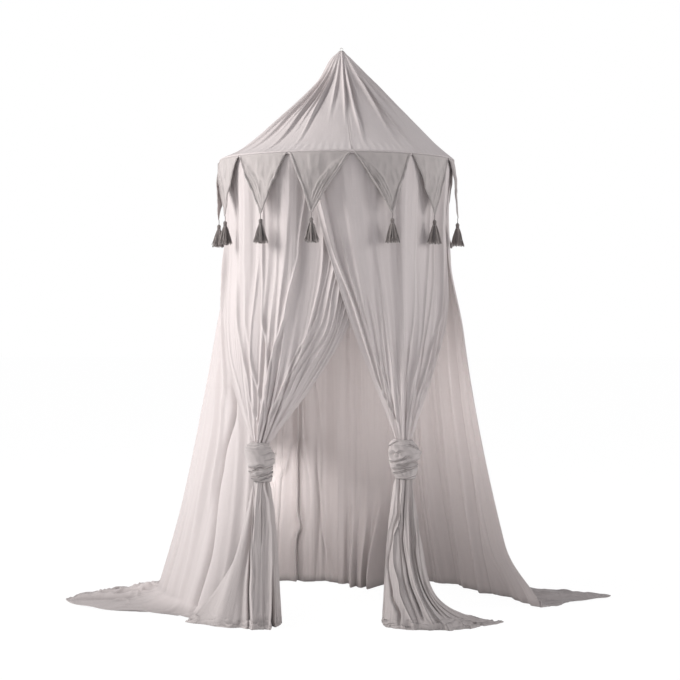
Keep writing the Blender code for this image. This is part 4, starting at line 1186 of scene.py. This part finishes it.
# Folds of the walls, along (share of the way down, bearing) points
WALL_FOLDS_LEFT = (
    (((0.25, -80.0), (0.49, -84.0), (0.57, -87.3), (0.72, -89.0)), 0.012, 0.9),
    (((0.45, -79.5), (0.54, -81.5), (0.68, -86.2), (0.75, -86.8), (0.90, -85.0), (1.0, -85.2)),
     -0.026, 1.1),
    (((0.50, -91.0), (0.73, -92.5), (0.95, -92.0)), 0.012, 1.5),
    (((0.35, -98.0), (0.8, -99.5), (1.0, -100.0)), -0.010, 1.6),
    (((0.30, -106.0), (1.0, -109.0)), 0.012, 1.8),
    (((0.55, -159.5), (0.82, -160.8), (0.86, -162.2), (0.90, -160.6), (1.0, -161.5)),
     -0.020, 0.9, 1),
    (((0.62, -160.0), (0.70, -154.5), (0.76, -150.0)), -0.012, 2.2),
    (((0.45, -158.0), (0.60, -163.0), (0.78, -166.5)), 0.006, 1.2),
    (((0.70, -170.0), (0.86, -172.5), (1.0, -177.5)), 0.008, 1.1),
    (((0.40, -168.0), (0.70, -173.0), (1.0, -170.0)), 0.005, 1.4),
)
WALL_FOLDS_RIGHT = (
    (((0.30, 103.0), (0.55, 104.3), (0.74, 104.1), (0.81, 105.2), (1.0, 109.0)), -0.022, 0.9),
    (((0.30, 101.0), (0.55, 102.2), (0.74, 102.0), (0.81, 103.0), (1.0, 106.4)), 0.010, 0.9),
    (((0.40, 106.8), (0.74, 108.0), (1.0, 112.0)), -0.010, 0.8),
    (((0.45, 93.0), (0.64, 94.0), (0.83, 97.5)), -0.012, 0.9),
    (((0.2, 118.0), (1.0, 121.0)), -0.008, 1.8),
    (((0.3, 131.0), (1.0, 129.0)), 0.007, 1.6),
    (((0.2, 150.0), (1.0, 153.0)), 0.006, 1.8),
    (((0.5, 167.0), (1.0, 164.0)), -0.006, 1.8),
)

# Rolled folds out along the trains: bearing, width in degrees and height near the wall
ROLLS_LEFT = ((-97.5, 1.1, 0.028), (-100.3, 1.0, -0.020), (-103.0, 1.3, 0.040),
              (-106.0, 1.0, -0.016), (-109.0, 1.4, 0.028), (-64.0, 2.0, 0.012))
ROLLS_RIGHT = ((92.0, 1.0, 0.016), (96.5, 1.1, 0.022), (99.5, 0.9, -0.010), (102.5, 1.1, 0.026),
               (105.5, 0.9, -0.012), (108.5, 1.1, 0.024), (113.0, 1.1, 0.018))
# Bearings between which a train lies calm
CALM_LEFT = (-92.0, -52.0)
CALM_RIGHT = (88.0, 118.0)


def wall_place(edges, foot_table, hem_table, toe_table, foot_curve, slacks, swings, folds, rolls,
               calm, seed):
    """place(u, v) of a wall from the casing down to the floor and out along it to the hem."""
    layer = -LAYER_STEP
    top_z = seat_under_casing(layer)

    def place(u, v):
        base = blend(edges[0], edges[1], u)
        front = max(1.0 - abs(base - edges[0]) / WALL_PANEL, 0.0)
        drawn = front ** 2 if swings else 0.0
        on_floor = base + drawn * edge_swing(1.0)
        foot = HOOP_RADIUS + reach_at(foot_table, on_floor)
        toe = level(toe_table, abs(base)) * (1.0 + 0.5 * drift(base / 4, 0.0, seed + 13))
        curve = blend(foot_curve, FOOT_CURVE_BACK, smooth((abs(base) - 125.0) / 25.0))
        down = min(v / WALL_BEND, 1.0)
        slow = 4.0 * drift(base / 23, down * 0.7, seed + 9)
        main = math.cos(math.tau * (base + slow - SEAM_BEARING) / WALL_FOLD_STEP)
        main *= max(0.5 + 0.75 * drift(base / 19, down * 0.8, seed + 8), 0.06)
        wander = base / WALL_FOLD_STEP
        fine = crest(wander * 3.0 + 0.6 * drift(base / 10, down * 1.2, seed))
        fine *= patchy(0.35, base / 8, down * 1.0, seed + 1)
        finer = math.cos(math.tau * (wander * 7.0 + 0.5 * drift(base / 5, down * 1.5, seed + 2)))
        finer *= patchy(0.3, base / 6, down * 1.4, seed + 4)
        small = 0.0055 * fine + 0.0011 * finer
        small += 1.25 * fold_height(folds, down, base, 0.1,
                                    0.4 * drift(down * 5, base / 9, seed + 3))
        if v <= WALL_BEND:
            z = blend(top_z, BED_Z + curve, down)
            spread = down ** blend(slacks[0], slacks[1], front ** slacks[2])
            radius = blend(HOOP_RADIUS + layer, foot, spread) - waist(top_z - z, base)
            radius += WALL_FOLD * smooth(down) * main + smooth((top_z - z) / 0.06) * small
            begins, power = (TOE_BEGINS, 1.0) if toe > 0.0 else (FLARE_BEGINS, 1.4)
            radius -= toe * smooth((down - begins) / (1.0 - begins)) ** power
            return around(radius, base + drawn * edge_swing(down), z)
        out = (v - WALL_BEND) / (1.0 - WALL_BEND)
        hem = HOOP_RADIUS + reach_at(hem_table, on_floor)
        start = foot - toe + (WALL_FOLD * main + small) * (1.0 - out)
        reach = blend(start, hem, out)
        lying = smooth(out / 0.2)
        rolled = TRAIN_FOLD * max(main - 0.1, 0.0) * (1.0 - out) ** 0.5
        rumple = max(drift(reach * 9 + base / 30, base / 5, seed + 5), 0.0)
        crease = crinkle_line(reach * 5, base / 4.5, seed + 6)
        pinch = crinkle_line(reach * 13, base / 5.5, seed + 12, 3.2)
        long_fold = crinkle_line(reach * 2.2, base / 2.4, seed + 15)
        lift = 0.012 * rumple + 0.020 * crease ** 2 + 0.014 * pinch ** 2 + 0.022 * long_fold ** 1.5
        lift *= 1.0 - 0.75 * fades(on_floor, *calm, 8.0)
        lift = rolled + (1 - out) ** 0.3 * lift * blend(0.45, 1.0, smooth(out / 0.5))
        for middle, width, height in rolls:
            bend = 2.0 * drift(out * 1.5, middle, seed + 20)
            rise = height * blend(1.0, 0.4, smooth(out / 0.8)) * (1.0 - smooth((out - 0.8) / 0.2))
            rise *= smooth((out + 0.06) / 0.3)
            lift += rise * ridge(on_floor - middle - bend, width)
        lift = max(lift, 0.0)
        curl = 0.010 * smooth((out - 0.88) / 0.12) * max(0.4 + drift(base / 3, 0, seed + 7), 0.0)
        z = BED_Z + curve * max(1.0 - out / 0.45, 0.0) ** 2 + lying * lift + curl
        return around(reach, on_floor, z)

    return place


def add_walls():
    for name, cut, area, edges, tables, curve, slacks, swings, folds, rolls, calm, seed in (
            ("left", (1.7, 2.0), 2.5, WALL_LEFT, (FOOT_LEFT, HEM_LEFT, TOE_LEFT),
             FOOT_CURVE_LEFT, LEFT_SLACK, True, WALL_FOLDS_LEFT, ROLLS_LEFT, CALM_LEFT, 80),
            ("right", (1.5, 1.95), 2.1, WALL_RIGHT, (FOOT_RIGHT, HEM_RIGHT, TOE_RIGHT),
             FOOT_CURVE_RIGHT, RIGHT_SLACK, False, WALL_FOLDS_RIGHT, ROLLS_RIGHT, CALM_RIGHT, 90)):
        place = wall_place(edges, *tables, curve, slacks, swings, folds, rolls, calm, seed)
        hang = cloth(f"hanging_{name}", WALL_GRID, place, cut, wall_cotton, "lf")
        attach(hang, "canopy")
        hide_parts(f"wall_{name}", f"wall_back_{name}")


add_walls()


# Floor, light and camera

WHITE = (1, 1, 1, 1)
AMBIENT = (0.43, 0.43, 0.45, 1)
FLOOR_GLOW = 1.03
FLOOR_GLOW_SHARE = 0.94       # of what the camera sees; the rest takes the light and shadows
CENTRE = (HOOP_SHIFT, 0.0, -1.1)
CAMERA_PLACE = (-0.0058, -6.28, -1.001)
CAMERA_DIP = 1.266
CAMERA_LENS = 84.8
CAMERA_SENSOR = 36.0
WARM = (1.0, 0.985, 0.98)


def add_light(name, place, target, size, power, colour, beam=180.0):
    lamp = bpy.data.lights.new(name, "AREA")
    lamp.shape = "DISK"
    lamp.size = size
    lamp.energy = power
    lamp.color = colour
    lamp.spread = math.radians(beam)
    holder = bpy.data.objects.new(name, lamp)
    holder.location = place
    holder.rotation_euler = (Vector(target) - Vector(place)).to_track_quat("-Z", "Y").to_euler()
    bpy.context.scene.collection.objects.link(holder)


def add_stage():
    shape = bmesh.new()
    bmesh.ops.create_grid(shape, x_segments=1, y_segments=1, size=30.0)
    bmesh.ops.translate(shape, verts=shape.verts[:], vec=(0, 0, FLOOR_Z - 0.0005))
    material, tree, shader = new_finish("floor", (0.88, 0.88, 0.88), 0.9)
    seen = add_node(tree, "ShaderNodeLightPath").outputs["Is Camera Ray"]
    white = add_node(tree, "ShaderNodeEmission", {"Color": WHITE, "Strength": FLOOR_GLOW})
    share = math_node(tree, "MULTIPLY", seen, FLOOR_GLOW_SHARE)
    mixed = add_node(tree, "ShaderNodeMixShader", {0: share, 1: shader.outputs[0],
                                                   2: white.outputs[0]})
    tree.links.new(mixed.outputs[0], tree.nodes["Material Output"].inputs[0])
    piece_of("floor", shape, material)
    world = bpy.data.worlds.new("studio")
    world.use_nodes = True
    tree = world.node_tree
    path = add_node(tree, "ShaderNodeLightPath").outputs
    seen = math_node(tree, "MAXIMUM", path["Is Camera Ray"],
                     math_node(tree, "MAXIMUM", path["Is Glossy Ray"], path["Is Transmission Ray"]))
    tone = mixed_colours(tree, seen, AMBIENT, WHITE)
    tree.links.new(tone, tree.nodes["Background"].inputs["Color"])
    bpy.context.scene.world = world


add_stage()
add_light("key", (-5.0, -1.1, 1.5), CENTRE, 3.6, 352.0, (1.0, 0.985, 0.975))
add_light("fill", (5.2, -1.6, -0.1), CENTRE, 2.5, 106.0, (1.0, 0.99, 0.985))
add_light("inside", (-0.02, -0.3, -1.36), (0.26, 0.3, -1.62), 0.4, 3.0, WARM)
add_light("glow", (-0.27, 0.17, -1.64), (-0.28, 0.38, -1.85), 0.1, 0.62, WARM, 115.0)

camera = bpy.data.objects.new("camera", bpy.data.cameras.new("camera"))
camera.location = CAMERA_PLACE
camera.rotation_euler = (math.radians(90.0 - CAMERA_DIP), 0.0, 0.0)
camera.data.lens = CAMERA_LENS
camera.data.sensor_width = CAMERA_SENSOR
bpy.context.scene.collection.objects.link(camera)
bpy.context.scene.camera = camera
bpy.context.scene.view_settings.view_transform = "Standard"
